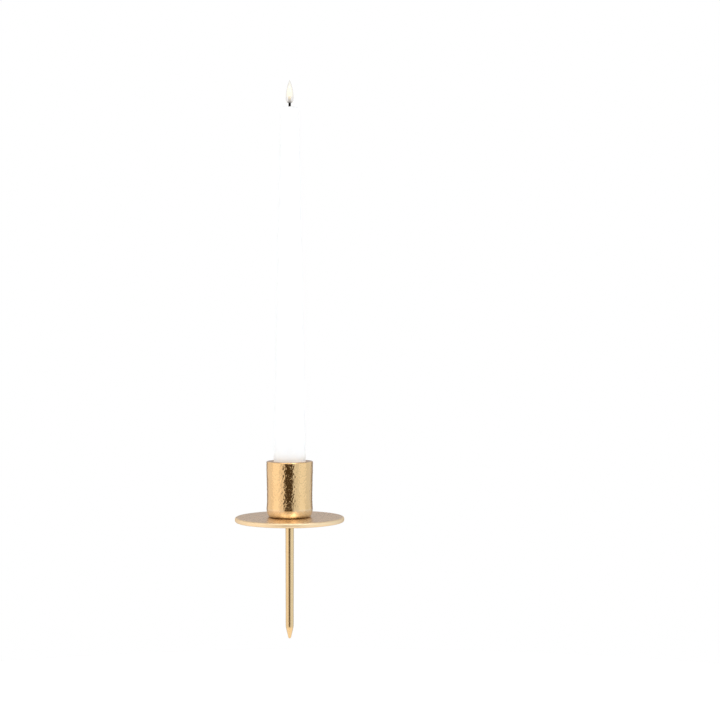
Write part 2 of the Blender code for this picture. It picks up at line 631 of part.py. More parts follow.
def main():
    clear_scene()
    grouped("candlestick", (0.0, 0.0, 0.0), [drip_plate(), candle_cup(), spike(), lock_washer(), clamp_nut()])
    grouped("battery_foot", (0.0, 0.0, CANDLE_Z), [
        battery_holder(), base_cover(), cover_screw("front", -1), cover_screw("rear", 1),
        switch_case(), switch_knob(), battery("battery_lower", LOWER_BATTERY_Z),
        battery("battery_upper", UPPER_BATTERY_Z), negative_spring(), positive_rivet(), return_strip()])
    grouped("candle", (0.0, 0.0, TUBE_Z), [
        wax_shell(), core_tube(), *board_parts(),
        board_spring("positive_board_spring", HOLDER_TOP_Z + GAP + RIVET_HEAD, 0.0),
        board_spring("negative_board_spring", HOLDER_TOP_Z + GAP + STRIP_THICKNESS, PAD_MIDDLE_Y),
        led_wire("led_wire_positive", -1), led_wire("led_wire_negative", 1),
        wick_plug(), wick_sleeve(), led(), flame_lens()])


main()
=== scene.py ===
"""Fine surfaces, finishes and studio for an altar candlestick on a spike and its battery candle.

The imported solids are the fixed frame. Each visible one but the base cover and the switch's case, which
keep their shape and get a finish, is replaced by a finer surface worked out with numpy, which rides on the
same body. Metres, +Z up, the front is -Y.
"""

import json
import math

import bpy
import numpy as np
from bpy.props import FloatProperty, FloatVectorProperty, PointerProperty
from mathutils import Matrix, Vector

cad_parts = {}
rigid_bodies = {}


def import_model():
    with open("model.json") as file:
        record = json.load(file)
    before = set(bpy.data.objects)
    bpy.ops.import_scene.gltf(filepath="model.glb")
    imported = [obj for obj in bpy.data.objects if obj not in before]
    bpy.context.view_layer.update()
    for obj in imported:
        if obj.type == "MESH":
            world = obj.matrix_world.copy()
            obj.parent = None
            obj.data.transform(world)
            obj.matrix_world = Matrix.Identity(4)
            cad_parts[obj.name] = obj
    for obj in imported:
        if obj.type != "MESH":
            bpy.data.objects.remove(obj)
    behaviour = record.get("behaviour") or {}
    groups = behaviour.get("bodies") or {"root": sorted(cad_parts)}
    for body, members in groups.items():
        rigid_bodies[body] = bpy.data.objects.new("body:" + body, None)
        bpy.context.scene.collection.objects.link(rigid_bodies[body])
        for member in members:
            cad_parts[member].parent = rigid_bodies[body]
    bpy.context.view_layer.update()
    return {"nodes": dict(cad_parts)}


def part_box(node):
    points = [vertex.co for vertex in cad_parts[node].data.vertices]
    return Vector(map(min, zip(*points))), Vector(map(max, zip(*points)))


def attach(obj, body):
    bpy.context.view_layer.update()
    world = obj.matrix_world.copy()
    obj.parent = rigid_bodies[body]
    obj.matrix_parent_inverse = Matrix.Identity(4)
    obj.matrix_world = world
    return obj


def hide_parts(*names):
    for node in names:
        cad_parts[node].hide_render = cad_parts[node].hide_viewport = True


for leftover in list(bpy.data.objects):
    bpy.data.objects.remove(leftover)
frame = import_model()

bl_info = {
    "name": "Altar candlestick",
    "version": (1, 0, 0),
    "blender": (4, 5, 0),
    "location": "3D View > Sidebar > Candlestick",
    "description": "Makes the surfaces, finishes and studio of an altar candlestick with a battery candle",
    "category": "Object",
}

MM = 0.001
TURN = math.tau
SMOOTH_BELOW = math.radians(38)
NEAR_AXIS = 0.05 * MM  # radius that the middle of a flat end is drawn in to
TIP_RADIUS = 0.03 * MM  # the same for a pointed end

PLATE_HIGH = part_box("drip_plate")[1]
CUP_LOW, CUP_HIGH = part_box("candle_cup")
SPIKE_LOW, SPIKE_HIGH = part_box("spike")
NUT_LOW, NUT_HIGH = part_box("clamp_nut")
WASHER_LOW, WASHER_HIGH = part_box("lock_washer")
WAX_LOW, WAX_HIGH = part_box("wax_shell")
CORE_LOW, CORE_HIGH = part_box("core_tube")
PLUG_LOW, PLUG_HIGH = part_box("wick_plug")
WICK_LOW, WICK_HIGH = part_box("wick_sleeve")
LED_LOW, LED_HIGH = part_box("led")
LENS_LOW, LENS_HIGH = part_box("flame_lens")
HOLDER_LOW, HOLDER_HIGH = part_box("battery_holder")
BOARD_LOW, BOARD_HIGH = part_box("circuit_board")
STRIP_LOW, STRIP_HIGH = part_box("return_strip")
RIVET_LOW, RIVET_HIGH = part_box("positive_rivet")
KNOB_LOW, KNOB_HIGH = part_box("switch_knob")
CHIP_LOW, CHIP_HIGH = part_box("timer_chip")
RESISTOR_LOW, RESISTOR_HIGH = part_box("resistor")
SPRING_LOW, SPRING_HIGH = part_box("negative_spring")

# Holder
STUD_HOLE = 2.3 * MM
STUD_RADIUS = 1.95 * MM
THREAD_PITCH = 0.7 * MM
THREAD_DEPTH = 0.2 * MM
PLATE_ROUND = 1.5 * MM
SEAT_RADIUS = 3.3 * MM
SEAT_DEPTH = 0.6 * MM
CUP_FOOT = 13.4 * MM
CUP_BELLY = 15.85 * MM
CUP_BELLY_Z = CUP_LOW.z + 6.0 * MM
CUP_WAIST = 15.6 * MM
CUP_WAIST_Z = CUP_LOW.z + 12.6 * MM
CUP_BORE = 11.3 * MM
CUP_FLOOR_Z = CUP_LOW.z + 6.3 * MM
WELL_RADIUS = 5.6 * MM
WELL_Z = CUP_LOW.z + 2.4 * MM
RIM_ROUND = 0.7 * MM
SPIKE_POINT_Z = SPIKE_LOW.z + 8.0 * MM
SPIKE_END = 2.7 * MM
SPIKE_TOP = 2.9 * MM
SHOULDER_Z = 0.3 * MM

# Candle
WAX_TOP_RADIUS = 6.4 * MM
WAX_WALL = 1.25 * MM
TAPER_Z = CUP_FLOOR_Z + 36.3 * MM
WAX_CEILING_Z = WAX_HIGH.z - 4.0 * MM
DISH_DEPTH = 1.6 * MM
WICK_HOLE = 1.15 * MM
CORE_BORE = 7.3 * MM
CORE_INSET = 1.5 * MM  # from the wax's outside to the core's
CORE_WALL = 1.0 * MM
LEDGE_Z = BOARD_HIGH.z + 0.3 * MM
LENS_SOCKET = 1.35 * MM
LENS_WIDEST_Z = LENS_LOW.z + 3.2 * MM
LED_RADIUS = 1.0 * MM
WIRE_RADIUS = 0.2 * MM

# Battery holder
HOLDER_COLUMNS = 240
CRADLE_BORE = 5.55 * MM
CRADLE_FRONT = -1.5 * MM
CRADLE_LOW_Z = HOLDER_LOW.z + 11.4 * MM
CRADLE_TOP_Z = HOLDER_HIGH.z - 1.4 * MM
POCKET_HALF = (4.8 * MM, 2.6 * MM)
POCKET_TOP_Z = HOLDER_LOW.z + 5.9 * MM
GROOVE_Y = 6.2 * MM
GROOVE_HALF = 1.6 * MM
GROOVE_LOW_Z = STRIP_LOW.z - 0.3 * MM
SPRING_WIRE = 0.25 * MM
SPRING_BEND = 0.9 * MM
SPRING_RADIUS = (3.4 * MM, 2.5 * MM)  # at its foot and its top
BOARD_SPRING_RADIUS = (0.72 * MM, 1.2 * MM)
BOARD_SPRING_WIRE = 0.15 * MM
STRIP_THICKNESS = 0.3 * MM


# Surfaces


def all_round(count):
    """Evenly spaced angles of one full turn."""
    return np.linspace(0, TURN, count, endpoint=False)


def outline(corners, closed=True, steps=4):
    """Outline of (r, z) points through corners (r, z, rounding).

    Each rounded corner c is the curve (1-t)² a + 2 t (1-t) c + t² b, with a and b one rounding
    before and after c on the straight sides.
    """
    places = np.array([corner[:2] for corner in corners], float)
    before = np.roll(places, 1, axis=0) - places
    after = np.roll(places, -1, axis=0) - places
    parts = []
    for i, (r, z, rounding) in enumerate(corners):
        if not rounding or (not closed and i in (0, len(corners) - 1)):
            parts.append(places[i:i + 1])
            continue
        t = np.linspace(0, 1, steps + 1)[:, None]
        a = places[i] + rounding * before[i] / np.linalg.norm(before[i])
        b = places[i] + rounding * after[i] / np.linalg.norm(after[i])
        parts.append((1 - t) ** 2 * a + 2 * t * (1 - t) * places[i] + t**2 * b)
    return np.concatenate(parts)


def arc(middle, radii, start, end, steps):
    """Points middle + radii (cos a, sin a), with a running evenly from start to end in degrees."""
    angles = np.radians(np.linspace(start, end, steps + 1))
    return np.column_stack([middle[0] + radii[0] * np.cos(angles), middle[1] + radii[1] * np.sin(angles)])


def divided(points, step, closed=True):
    """The same line with more points: each stretch is cut into equal parts no longer than step."""
    starts = points if closed else points[:-1]
    ends = np.roll(points, -1, axis=0) if closed else points[1:]
    parts = []
    for a, b in zip(starts, ends):
        count = max(1, math.ceil(np.linalg.norm(b - a) / step))
        parts.append(a + (b - a) * np.linspace(0, 1, count, endpoint=False)[:, None])
    if not closed:
        parts.append(points[-1:])
    return np.concatenate(parts)


def open_line(corners, step):
    """An outline that doesn't close, with its points no further apart than step."""
    return divided(outline(corners, closed=False), step, closed=False)


def surface(grid, wraps=True):
    """Points, quads and triangles of a grid whose columns close round.

    The rows close round too, or else each end row is closed by a fan to its middle. Faces are
    turned to point outwards by the sign of the enclosed volume.
    """
    rows, columns = grid.shape[:2]
    index = np.arange(rows * columns).reshape(rows, columns)
    index = np.hstack([index, index[:, :1]])
    points = grid.reshape(-1, 3)
    fans = np.empty((0, 3), int)
    if wraps:
        index = np.vstack([index, index[:1]])
    else:
        low = np.full(columns, len(points))
        points = np.vstack([points, grid[0].mean(axis=0), grid[-1].mean(axis=0)])
        fans = np.vstack([np.column_stack([index[0, 1:], index[0, :-1], low]),
                          np.column_stack([index[-1, :-1], index[-1, 1:], low + 1])])
    quads = np.stack([index[:-1, :-1], index[:-1, 1:], index[1:, 1:], index[1:, :-1]], axis=-1)
    quads = quads.reshape(-1, 4)
    triangles = np.vstack([quads[:, :3], quads[:, [0, 2, 3]], fans])
    a, b, c = points[triangles].transpose(1, 0, 2)
    if (a * np.cross(b, c)).sum() < 0:
        quads, fans = quads[:, ::-1], fans[:, ::-1]
    return points, quads, fans


def together(*shells):
    """Several closed shells as one."""
    counts = np.cumsum([0] + [len(shell[0]) for shell in shells])
    return (np.vstack([shell[0] for shell in shells]),
            np.vstack([shell[1] + start for shell, start in zip(shells, counts)]),
            np.vstack([shell[2] + start for shell, start in zip(shells, counts)]))


def turned(profile, columns, relief=None, wraps=True, middle=(0.0, 0.0)):
    """Surface of revolution: the place (r cos a, r sin a, z) for each (r, z) and each angle a.

    The profile runs up its outer side. relief(grid) is how far each place moves in along the
    profile's normal (dz, -dr).
    """
    angles = all_round(columns)
    cosine, sine = np.cos(angles), np.sin(angles)
    radius, height = profile[:, :1], profile[:, 1:]
    grid = np.stack([radius * cosine, radius * sine, height + 0 * cosine], axis=-1)
    if relief is not None:
        ahead, behind = np.roll(profile, -1, axis=0), np.roll(profile, 1, axis=0)
        if not wraps:
            ahead[-1], behind[0] = profile[-1], profile[0]
        run = ahead - behind
        run /= np.linalg.norm(run, axis=1)[:, None]
        depth = relief(grid)
        sideways = -depth * run[:, 1:]
        grid = grid + np.stack([sideways * cosine, sideways * sine, depth * run[:, :1]], axis=-1)
    grid[..., :2] += middle
    return surface(grid, wraps)


def swept(path, section, up):
    """A closed section (side, rise) carried along a path: p + side · s + rise · (s x t).

    t is the path's direction and s the unit vector along t x up.
    """
    along = np.gradient(path, axis=0)
    along /= np.linalg.norm(along, axis=1)[:, None]
    side = np.cross(along, up)
    side /= np.linalg.norm(side, axis=1)[:, None]
    rise = np.cross(side, along)
    grid = path[:, None] + section[:, :1] * side[:, None] + section[:, 1:] * rise[:, None]
    return surface(grid, wraps=False)


def ring(radius, count):
    """Points (radius cos a, radius sin a) all round."""
    angles = all_round(count)
    return radius * np.column_stack([np.cos(angles), np.sin(angles)])


def soft_box(half_x, half_y, angles, power=14):
    """A rectangle with soft corners, seen from its middle: r = (|cos a / x|ⁿ + |sin a / y|ⁿ)^(-1/n)."""
    parts = np.abs(np.cos(angles) / half_x) ** power + np.abs(np.sin(angles) / half_y) ** power
    radius = parts ** (-1 / power)
    return np.column_stack([radius * np.cos(angles), radius * np.sin(angles)])


def stacked(levels):
    """A grid of closed outlines, one above another: levels is a list of (outline of (x, y), z)."""
    return np.stack([np.column_stack([places, np.full(len(places), z)]) for places, z in levels])


def slab(size, low, middle=(0.0, 0.0), edge=0.15 * MM, columns=64, power=14):
    """A box with soft corners and edges, standing on z = low: its outline drawn in by edge (1 - sin a)
    as the height goes edge (1 - cos a) at both ends."""
    angles = all_round(columns)
    turns = np.radians(np.linspace(0, 90, 5))
    insets = edge * (1 - np.sin(turns))
    rises = edge * (1 - np.cos(turns))
    levels = [(inset, low + rise) for inset, rise in zip(insets, rises)]
    levels += [(inset, low + size[2] - rise) for inset, rise in zip(insets[::-1], rises[::-1])]
    grid = stacked([(soft_box(size[0] / 2 - inset, size[1] / 2 - inset, angles, power) + middle, z)
                    for inset, z in levels])
    return surface(grid, wraps=False)


def noise(places, size, seed=0):
    """Value noise from 0 to 1, about `size` from bump to bump: a hash of each cell's corner numbers,
    blended by 3t² - 2t³ along each axis."""
    scaled = places / size
    cell = np.floor(scaled).astype(np.int64)
    share = scaled - cell
    share = share * share * (3 - 2 * share)
    total = 0.0
    for corner in range(8):
        step = np.array([corner & 1, (corner >> 1) & 1, corner >> 2])
        x, y, z = np.moveaxis(cell + step, -1, 0)
        mixed = (x * 73856093) ^ (y * 19349663) ^ (z * 83492791) ^ (seed * 2654435761)
        mixed = ((mixed ^ (mixed >> 13)) * 1274126177) & 0x7FFFFFFF
        value = ((mixed ^ (mixed >> 15)) & 0xFFFF) / 0xFFFF
        total = total + value * np.where(step, share, 1 - share).prod(axis=-1)
    return total


def eased(value, low, high):
    """0 below low, 1 above high, 3t² - 2t³ between."""
    t = np.clip((value - low) / (high - low), 0, 1)
    return t * t * (3 - 2 * t)


def thread(grid):
    """How deep a screw thread is at each place: a triangle wave of z / pitch - angle / turn."""
    angle = np.arctan2(grid[..., 1], grid[..., 0])
    phase = (grid[..., 2] / THREAD_PITCH - angle / TURN) % 1
    return THREAD_DEPTH * np.abs(2 * phase - 1)


def smooth_route(stations):
    """Catmull-Rom curve through the stations, in ten steps from each to the next."""
    places = np.array(stations, float)
    padded = np.vstack([2 * places[0] - places[1], places, 2 * places[-1] - places[-2]])
    t = np.linspace(0, 1, 10, endpoint=False)[:, None]
    a, b, c, d = (padded[i:len(padded) - 3 + i, None] for i in range(4))
    spans = 0.5 * (2 * b + (c - a) * t + (2 * a - 5 * b + 4 * c - d) * t**2
                   + (3 * b - a - 3 * c + d) * t**3)
    return np.vstack([spans.reshape(-1, 3), places[-1:]])


def helix(low, high, radius_low, radius_high, turns):
    """Centreline of a conical coil about the axis: angle, radius and height all grow evenly."""
    share = np.linspace(0, 1, round(turns * 36) + 1)
    radius = radius_low + (radius_high - radius_low) * share
    angle = TURN * turns * share
    return np.column_stack([radius * np.cos(angle), radius * np.sin(angle), low + (high - low) * share])


def add_object(name, shell, surface_finish):
    """Makes an object of a shell of points, quads and triangles, smooth but for its sharp edges."""
    points, quads, triangles = shell
    if not np.isfinite(points).all():
        raise RuntimeError(f"{name} has a point that isn't a number")
    sizes = np.repeat([4, 3], [len(quads), len(triangles)])
    corners = np.concatenate([quads.ravel(), triangles.ravel()])
    mesh = bpy.data.meshes.new(name)
    mesh.vertices.add(len(points))
    mesh.vertices.foreach_set("co", points.astype(np.float32).ravel())
    mesh.loops.add(len(corners))
    mesh.loops.foreach_set("vertex_index", corners.astype(np.int32))
    mesh.polygons.add(len(sizes))
    mesh.polygons.foreach_set("loop_start", (np.cumsum(sizes) - sizes).astype(np.int32))
    mesh.update(calc_edges=True)
    mesh.materials.append(surface_finish)
    mesh.shade_smooth()
    mesh.set_sharp_from_angle(angle=SMOOTH_BELOW)
    made = bpy.data.objects.new(name, mesh)
    bpy.context.scene.collection.objects.link(made)
    return made


def place(name, shell, surface_finish, body, slot, *nodes):
    """Makes a piece, and has it ride on its body in the place of its CAD nodes."""
    piece = add_object(name, shell, surface_finish)
    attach(piece, body)
    if nodes:
        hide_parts(*nodes)


# Finishes


class Value:
    """A socket of a node tree. An expression on values adds the Math nodes that work it out."""

    def __init__(self, bench, socket):
        self.bench = bench
        self.socket = socket

    def math(self, operation, first, second=0.0):
        return self.bench.node("Math", {"operation": operation}, {0: first, 1: second})

    def __add__(self, other):
        return self.math("ADD", self, other)

    def __sub__(self, other):
        return self.math("SUBTRACT", self, other)

    def __mul__(self, other):
        return self.math("MULTIPLY", self, other)

    def __rsub__(self, other):
        return self.math("SUBTRACT", other, self)

    def __abs__(self):
        return self.math("ABSOLUTE", self)

    __radd__ = __add__
    __rmul__ = __mul__


class Bench:
    """Where a material's or a world's nodes are put together."""

    def __init__(self, tree):
        self.tree = tree
        tree.nodes.clear()

    def node(self, kind, options, inputs, output=0):
        """Adds a node: its options first, then the values or links of its sockets. Gives one output."""
        made = self.tree.nodes.new("ShaderNode" + kind)
        for key, value in options.items():
            setattr(made, key, value)
        for key, value in inputs.items():
            if isinstance(value, Value):
                self.tree.links.new(value.socket, made.inputs[key])
            else:
                made.inputs[key].default_value = value
        return Value(self, made.outputs[output]) if made.outputs else None

    def places(self, stretch=(1.0, 1.0, 1.0)):
        """Object coordinates in metres, stretched along each axis."""
        plain = self.node("TexCoord", {}, {}, "Object")
        return self.node("Mapping", {}, {"Vector": plain, "Scale": stretch})

    def axis(self, vector, name):
        """One part of a vector: X, Y or Z."""
        return self.node("SeparateXYZ", {}, {0: vector}, name)

    def height(self):
        """Height above the plate's underside."""
        return self.axis(self.places(), "Z")

    def from_axis(self):
        """Distance from the candlestick's axis."""
        return self.node("VectorMath", {"operation": "LENGTH"}, {0: self.places((1.0, 1.0, 0.0))}, "Value")

    def eased(self, value, low, high):
        """0 at low, 1 at high, smooth between."""
        return self.node("MapRange", {"interpolation_type": "SMOOTHSTEP"},
                         {"Value": value, "From Min": low, "From Max": high})

    def band(self, value, rise, fall):
        """1 between rise and fall, each a (start, end) of an eased step, and 0 outside."""
        return self.eased(value, *rise) * (1 - self.eased(value, *fall))

    def noise(self, size, detail=2.0, stretch=(1.0, 1.0, 1.0), rough=0.5):
        """Noise from 0 to 1, with blots about `size` metres across."""
        return self.node("TexNoise", {}, {"Vector": self.places(stretch), "Scale": 1 / size,
                                          "Detail": detail, "Roughness": rough})

    def mixed(self, share, first, second):
        """A colour between two, each a value or a plain (red, green, blue)."""
        first, second = (part if isinstance(part, Value) else opaque(part) for part in (first, second))
        return self.node("Mix", {"data_type": "RGBA"}, {0: share, 6: first, 7: second}, 2)

    def bump(self, height, depth, strength=1.0):
        """A normal for a height from 0 to 1 that stands for `depth` metres."""
        return self.node("Bump", {}, {"Height": height, "Distance": depth, "Strength": strength})

    def ray(self, *kinds):
        """1 for rays of these kinds."""
        total = 0.0
        for kind in kinds:
            total = self.node("LightPath", {}, {}, f"Is {kind} Ray") + total
        return total


def opaque(colour):
    """The plain colour with a full fourth part, as sockets take it."""
    return (*colour, 1.0)


def shaded(colour, factor):
    """The colour, darker or lighter by one factor, or by one for each of its parts."""
    return [min(1.0, float(part)) for part in np.array(colour) * factor]


def finish(build):
    """Makes build(bench, ...), which gives the Principled shader's inputs, into a maker of materials.

    The maker takes the material's name, which is the function's own unless it is given, and what
    build needs besides the bench. It makes each named material once.
    """

    def make(name=build.__name__, *details):
        found = bpy.data.materials.get(name)
        if found:
            return found
        made = bpy.data.materials.new(name)
        made.use_nodes = True
        bench = Bench(made.node_tree)
        shader = bench.node("BsdfPrincipled", {}, build(bench, *details))
        bench.node("OutputMaterial", {}, {"Surface": shader})
        return made

    return make


def settings():
    """The sizes and colours that the panel shows."""
    return bpy.context.scene.candlestick


@finish
def pebbled_brass(bench):
    """Cast and polished brass of the cup: pebble grain, warmer in random blots, brushed at the belly, with
    a painted highlight that makes the belly paler and painted shade that darkens the foot.
    """
    colour = settings().brass_colour
    blots = bench.noise(7 * MM, 3.0)
    grain = bench.noise(0.5 * MM, 3.0, rough=0.6)
    brushed = bench.noise(0.25 * MM, 2.0, stretch=(1.0, 1.0, 0.12))
    height = bench.height()
    low_band = 1 - bench.eased(height, CUP_BELLY_Z - 2.5 * MM, CUP_BELLY_Z + 0.5 * MM)
    # Painted shade: the colour darkens over the foot's lowest 2.2 mm, where the cup sits on the plate.
    foot = 1 - bench.eased(height, CUP_LOW.z, CUP_LOW.z + 2.2 * MM)
    tone = bench.mixed(blots, shaded(colour, 1.04), shaded(colour, (0.97, 0.93, 0.86)))
    streaks = bench.noise(0.8 * MM, 3.0, stretch=(1.0, 1.0, 0.5), rough=0.7)
    # Painted highlight: the belly's streaked colour is made pale to stand in for a highlight.
    belly_streaks_and_painted_highlight = bench.mixed(streaks, (0.98, 0.86, 0.68), (0.86, 0.60, 0.34))
    tone = bench.mixed(low_band * 0.85, tone, belly_streaks_and_painted_highlight)
    tone = bench.mixed(foot * 0.6, tone, shaded(colour, 0.4))
    relief = grain * (1 - low_band) + brushed * low_band
    return {
        "Base Color": tone,
        "Metallic": 1.0,
        "Roughness": 0.10 + 0.05 * blots + 0.05 * grain + 0.10 * low_band,
        "Normal": bench.bump(relief, 0.02 * MM, 0.6),
    }


@finish
def satin_brass(bench):
    """Brass of the drip plate: paler than the cup, brushed across, and duller round its rim, where a
    painted highlight makes its colour lighter and warmer.
    """
    colour = settings().plate_colour
    blots = bench.noise(9 * MM, 3.0)
    mottle = bench.eased(bench.noise(3 * MM, 5.0, rough=0.7), 0.34, 0.66)
    brushed = bench.noise(0.5 * MM, 3.0, stretch=(0.06, 1.0, 1.0), rough=0.6)
    tone = bench.mixed(mottle, shaded(colour, 0.80), shaded(colour, (1.0, 0.98, 1.1)))
    across = bench.from_axis()
    rim = bench.eased(across, PLATE_HIGH.x - PLATE_ROUND, PLATE_HIGH.x - 0.5 * PLATE_ROUND)
    return {
        # Painted highlight: round the rim the colour turns lighter and warmer than the plate's.
        "Base Color": bench.mixed(rim, tone, (0.99, 0.77, 0.49)),
        "Metallic": 1.0,
        "Roughness": 0.18 + 0.10 * blots + 0.06 * mottle + 0.06 * brushed + 0.24 * rim,
        "Normal": bench.bump(brushed, 0.01 * MM, 0.5),
    }


@finish
def drawn_brass(bench):
    """Brass of the spike: smooth, with faint lines along it."""
    colour = settings().spike_colour
    blots = bench.noise(5 * MM, 2.0, stretch=(1.0, 1.0, 0.3))
    drawn = bench.noise(0.3 * MM, 2.0, stretch=(1.0, 1.0, 0.02))
    return {
        "Base Color": bench.mixed(blots, colour, shaded(colour, 0.92)),
        "Metallic": 1.0,
        "Roughness": 0.20 + 0.08 * blots + 0.05 * drawn,
        "Normal": bench.bump(drawn, 0.01 * MM, 0.4),
    }


@finish
def white_wax(bench):
    """Dense white wax with a soft bloom, and a faint painted glow low down by the cup's rim that lifts the
    shade there.
    """
    colour = settings().wax_colour
    bloom = bench.noise(6 * MM, 4.0, stretch=(1.0, 1.0, 0.4))
    pores = bench.noise(0.6 * MM, 3.0)
    height = bench.height()
    # Painted glow: the wax glows faintly from just above the cup's rim to 8 mm above it.
    painted_glow_by_cup = 1 - bench.eased(height, CUP_HIGH.z + 1 * MM, CUP_HIGH.z + 8 * MM)
    return {
        "Base Color": bench.mixed(bloom, colour, shaded(colour, 0.975)),
        "Emission Color": bench.mixed(painted_glow_by_cup, (0.0, 0.0, 0.0), colour),
        "Emission Strength": 0.04,
        "Roughness": 0.42 + 0.16 * bloom,
        "Subsurface Weight": 0.35,
        "Subsurface Radius": (0.004, 0.0036, 0.0032),
        "Subsurface Scale": 1.0,
        "Specular IOR Level": 0.35,
        "Normal": bench.bump(pores, 0.01 * MM, 0.5),
    }


@finish
def moulded_plastic(bench, colour, roughness):
    """Moulded plastic: an even colour with faint flow marks and a fine spark-eroded grain."""
    flow = bench.noise(8 * MM, 2.0, stretch=(1.0, 1.0, 0.5))
    grain = bench.noise(0.25 * MM, 2.0)
    return {
        "Base Color": bench.mixed(flow, colour, shaded(colour, 0.93)),
        "Roughness": roughness - 0.05 + 0.12 * flow + 0.06 * grain,
        "Normal": bench.bump(grain, 0.01 * MM, 0.35),
    }


@finish
def bare_metal(bench, colour, roughness):
    """Plated or drawn metal with faint dulled patches and fine scratches."""
    dulled = bench.noise(2.5 * MM, 4.0)
    scratches = bench.noise(0.15 * MM, 2.0, stretch=(1.0, 0.15, 0.4))
    return {
        "Base Color": bench.mixed(dulled, colour, shaded(colour, 0.78)),
        "Metallic": 1.0,
        "Roughness": roughness - 0.06 + 0.18 * dulled + 0.05 * scratches,
        "Normal": bench.bump(scratches, 0.004 * MM, 0.5),
    }


def zinc_steel():
    return bare_metal("zinc_steel", (0.62, 0.63, 0.65), 0.35)


def nickel():
    return bare_metal("bright_nickel", (0.72, 0.70, 0.66), 0.25)


def white_plastic():
    return moulded_plastic("white_moulding", (0.88, 0.88, 0.86), 0.40)


@finish
def charred_wick(bench):
    """Black wick with a dull, dusty char."""
    dust = bench.noise(0.4 * MM, 4.0)
    return {
        "Base Color": bench.mixed(dust, (0.001, 0.001, 0.001), (0.006, 0.0055, 0.005)),
        "Roughness": 0.75 + 0.2 * dust,
        "Specular IOR Level": 0.08,
        "Normal": bench.bump(dust, 0.03 * MM, 0.6),
    }


@finish
def flame_glass(bench):
    """Clear lens with a painted warm glow and painted warm tint from the LED's top upwards, clear round the
    LED, and painted grey shade towards its edges.
    """
    glow_colour = settings().glow_colour
    height = bench.height()
    lit = bench.eased(height, LED_HIGH.z - 2.5 * MM, LED_HIGH.z + 1.5 * MM)
    fade = 1 - bench.eased(height, LED_HIGH.z + 3 * MM, LENS_HIGH.z)
    swirl = bench.noise(1.5 * MM, 2.0)
    # Painted glow: above the LED the lens glows warm and its colour is tinted warm, fading towards the tip.
    painted_glow_share = lit * (0.35 + 0.65 * fade)
    glow = bench.mixed(painted_glow_share, (0.0, 0.0, 0.0), glow_colour)
    clear = bench.mixed(swirl, (0.93, 0.92, 0.92), (0.88, 0.87, 0.87))
    core = bench.mixed(painted_glow_share, clear, (0.965, 0.94, 0.82))
    # Painted shade: the colour turns grey where the surface faces away from the view, at the lens's edges.
    facing = bench.node("LayerWeight", {}, {"Blend": 0.55}, "Facing")
    return {
        "Base Color": bench.mixed(bench.eased(facing, 0.1, 0.8), core, (0.62, 0.57, 0.58)),
        "Roughness": 0.06 + 0.08 * swirl,
        "Transmission Weight": 1.0,
        "IOR": 1.46,
        "Emission Color": glow,
        "Emission Strength": settings().glow_strength,
        "Normal": bench.bump(swirl, 0.02 * MM, 0.3),
    }


@finish
def lit_led(bench):
    """Warm white LED, bright in its dome and clear at its foot."""
    glow_colour = settings().glow_colour
    height = bench.height()
    lit = bench.eased(height, LED_LOW.z + 0.6 * MM, LED_LOW.z + 2.4 * MM)
    grain = bench.noise(0.5 * MM, 2.0)
    return {
        "Base Color": bench.mixed(lit, (0.70, 0.68, 0.65), (0.80, 0.74, 0.66)),
        "Roughness": 0.15 + 0.1 * grain,
        "Emission Color": bench.mixed(lit, (0.02, 0.02, 0.02), glow_colour),
        "Emission Strength": 0.3,
    }


@finish
def jacket(bench, base, shoulder):
    """A cell's printed jacket between bare steel ends: a dark body, a pale band near the button."""
    height = bench.height()
    jacketed = bench.band(height, (base + 0.75 * MM, base + 0.85 * MM),
                          (shoulder - 0.65 * MM, shoulder - 0.55 * MM))
    pale = bench.band(height, (shoulder - 9.1 * MM, shoulder - 9.0 * MM),
                      (shoulder - 7.1 * MM, shoulder - 7.0 * MM))
    scuffs = bench.noise(0.8 * MM, 4.0, stretch=(1.0, 1.0, 0.3), rough=0.7)
    print_colour = bench.mixed(scuffs, (0.035, 0.13, 0.18), (0.05, 0.17, 0.23))
    print_colour = bench.mixed(pale, print_colour, (0.62, 0.64, 0.62))
    return {
        "Base Color": bench.mixed(jacketed, (0.63, 0.62, 0.60), print_colour),
        "Metallic": 1 - jacketed,
        "Roughness": 0.24 + 0.16 * scuffs,
        "Coat Weight": 0.3 * jacketed,
        "Normal": bench.bump(scuffs, 0.006 * MM, 0.4),
    }


@finish
def solder_mask(bench):
    """Green solder mask over straight copper tracks, with bare glass fibre at the board's edge."""
    places = bench.places()
    x, y = (bench.axis(places, name) for name in "XY")
    weave = bench.noise(0.35 * MM, 2.0)
    per_metre = TURN / (2.4 * MM)
    waves = [bench.node("Math", {"operation": "SINE"}, {0: part * per_metre}) for part in (x, y)]
    tracks = bench.eased(waves[0] * waves[1], 0.45, 0.55)
    across = bench.from_axis()
    edge = bench.eased(across, BOARD_HIGH.x - 0.35 * MM, BOARD_HIGH.x - 0.2 * MM)
    mask = bench.mixed(tracks, (0.02, 0.15, 0.06), (0.05, 0.27, 0.11))
    mask = bench.mixed(weave * 0.35, mask, (0.03, 0.20, 0.08))
    return {
        "Base Color": bench.mixed(edge, mask, (0.50, 0.48, 0.30)),
        "Roughness": 0.35 + 0.15 * weave + 0.2 * edge,
        "Normal": bench.bump(tracks + 0.2 * weave, 0.03 * MM, 0.6),
    }


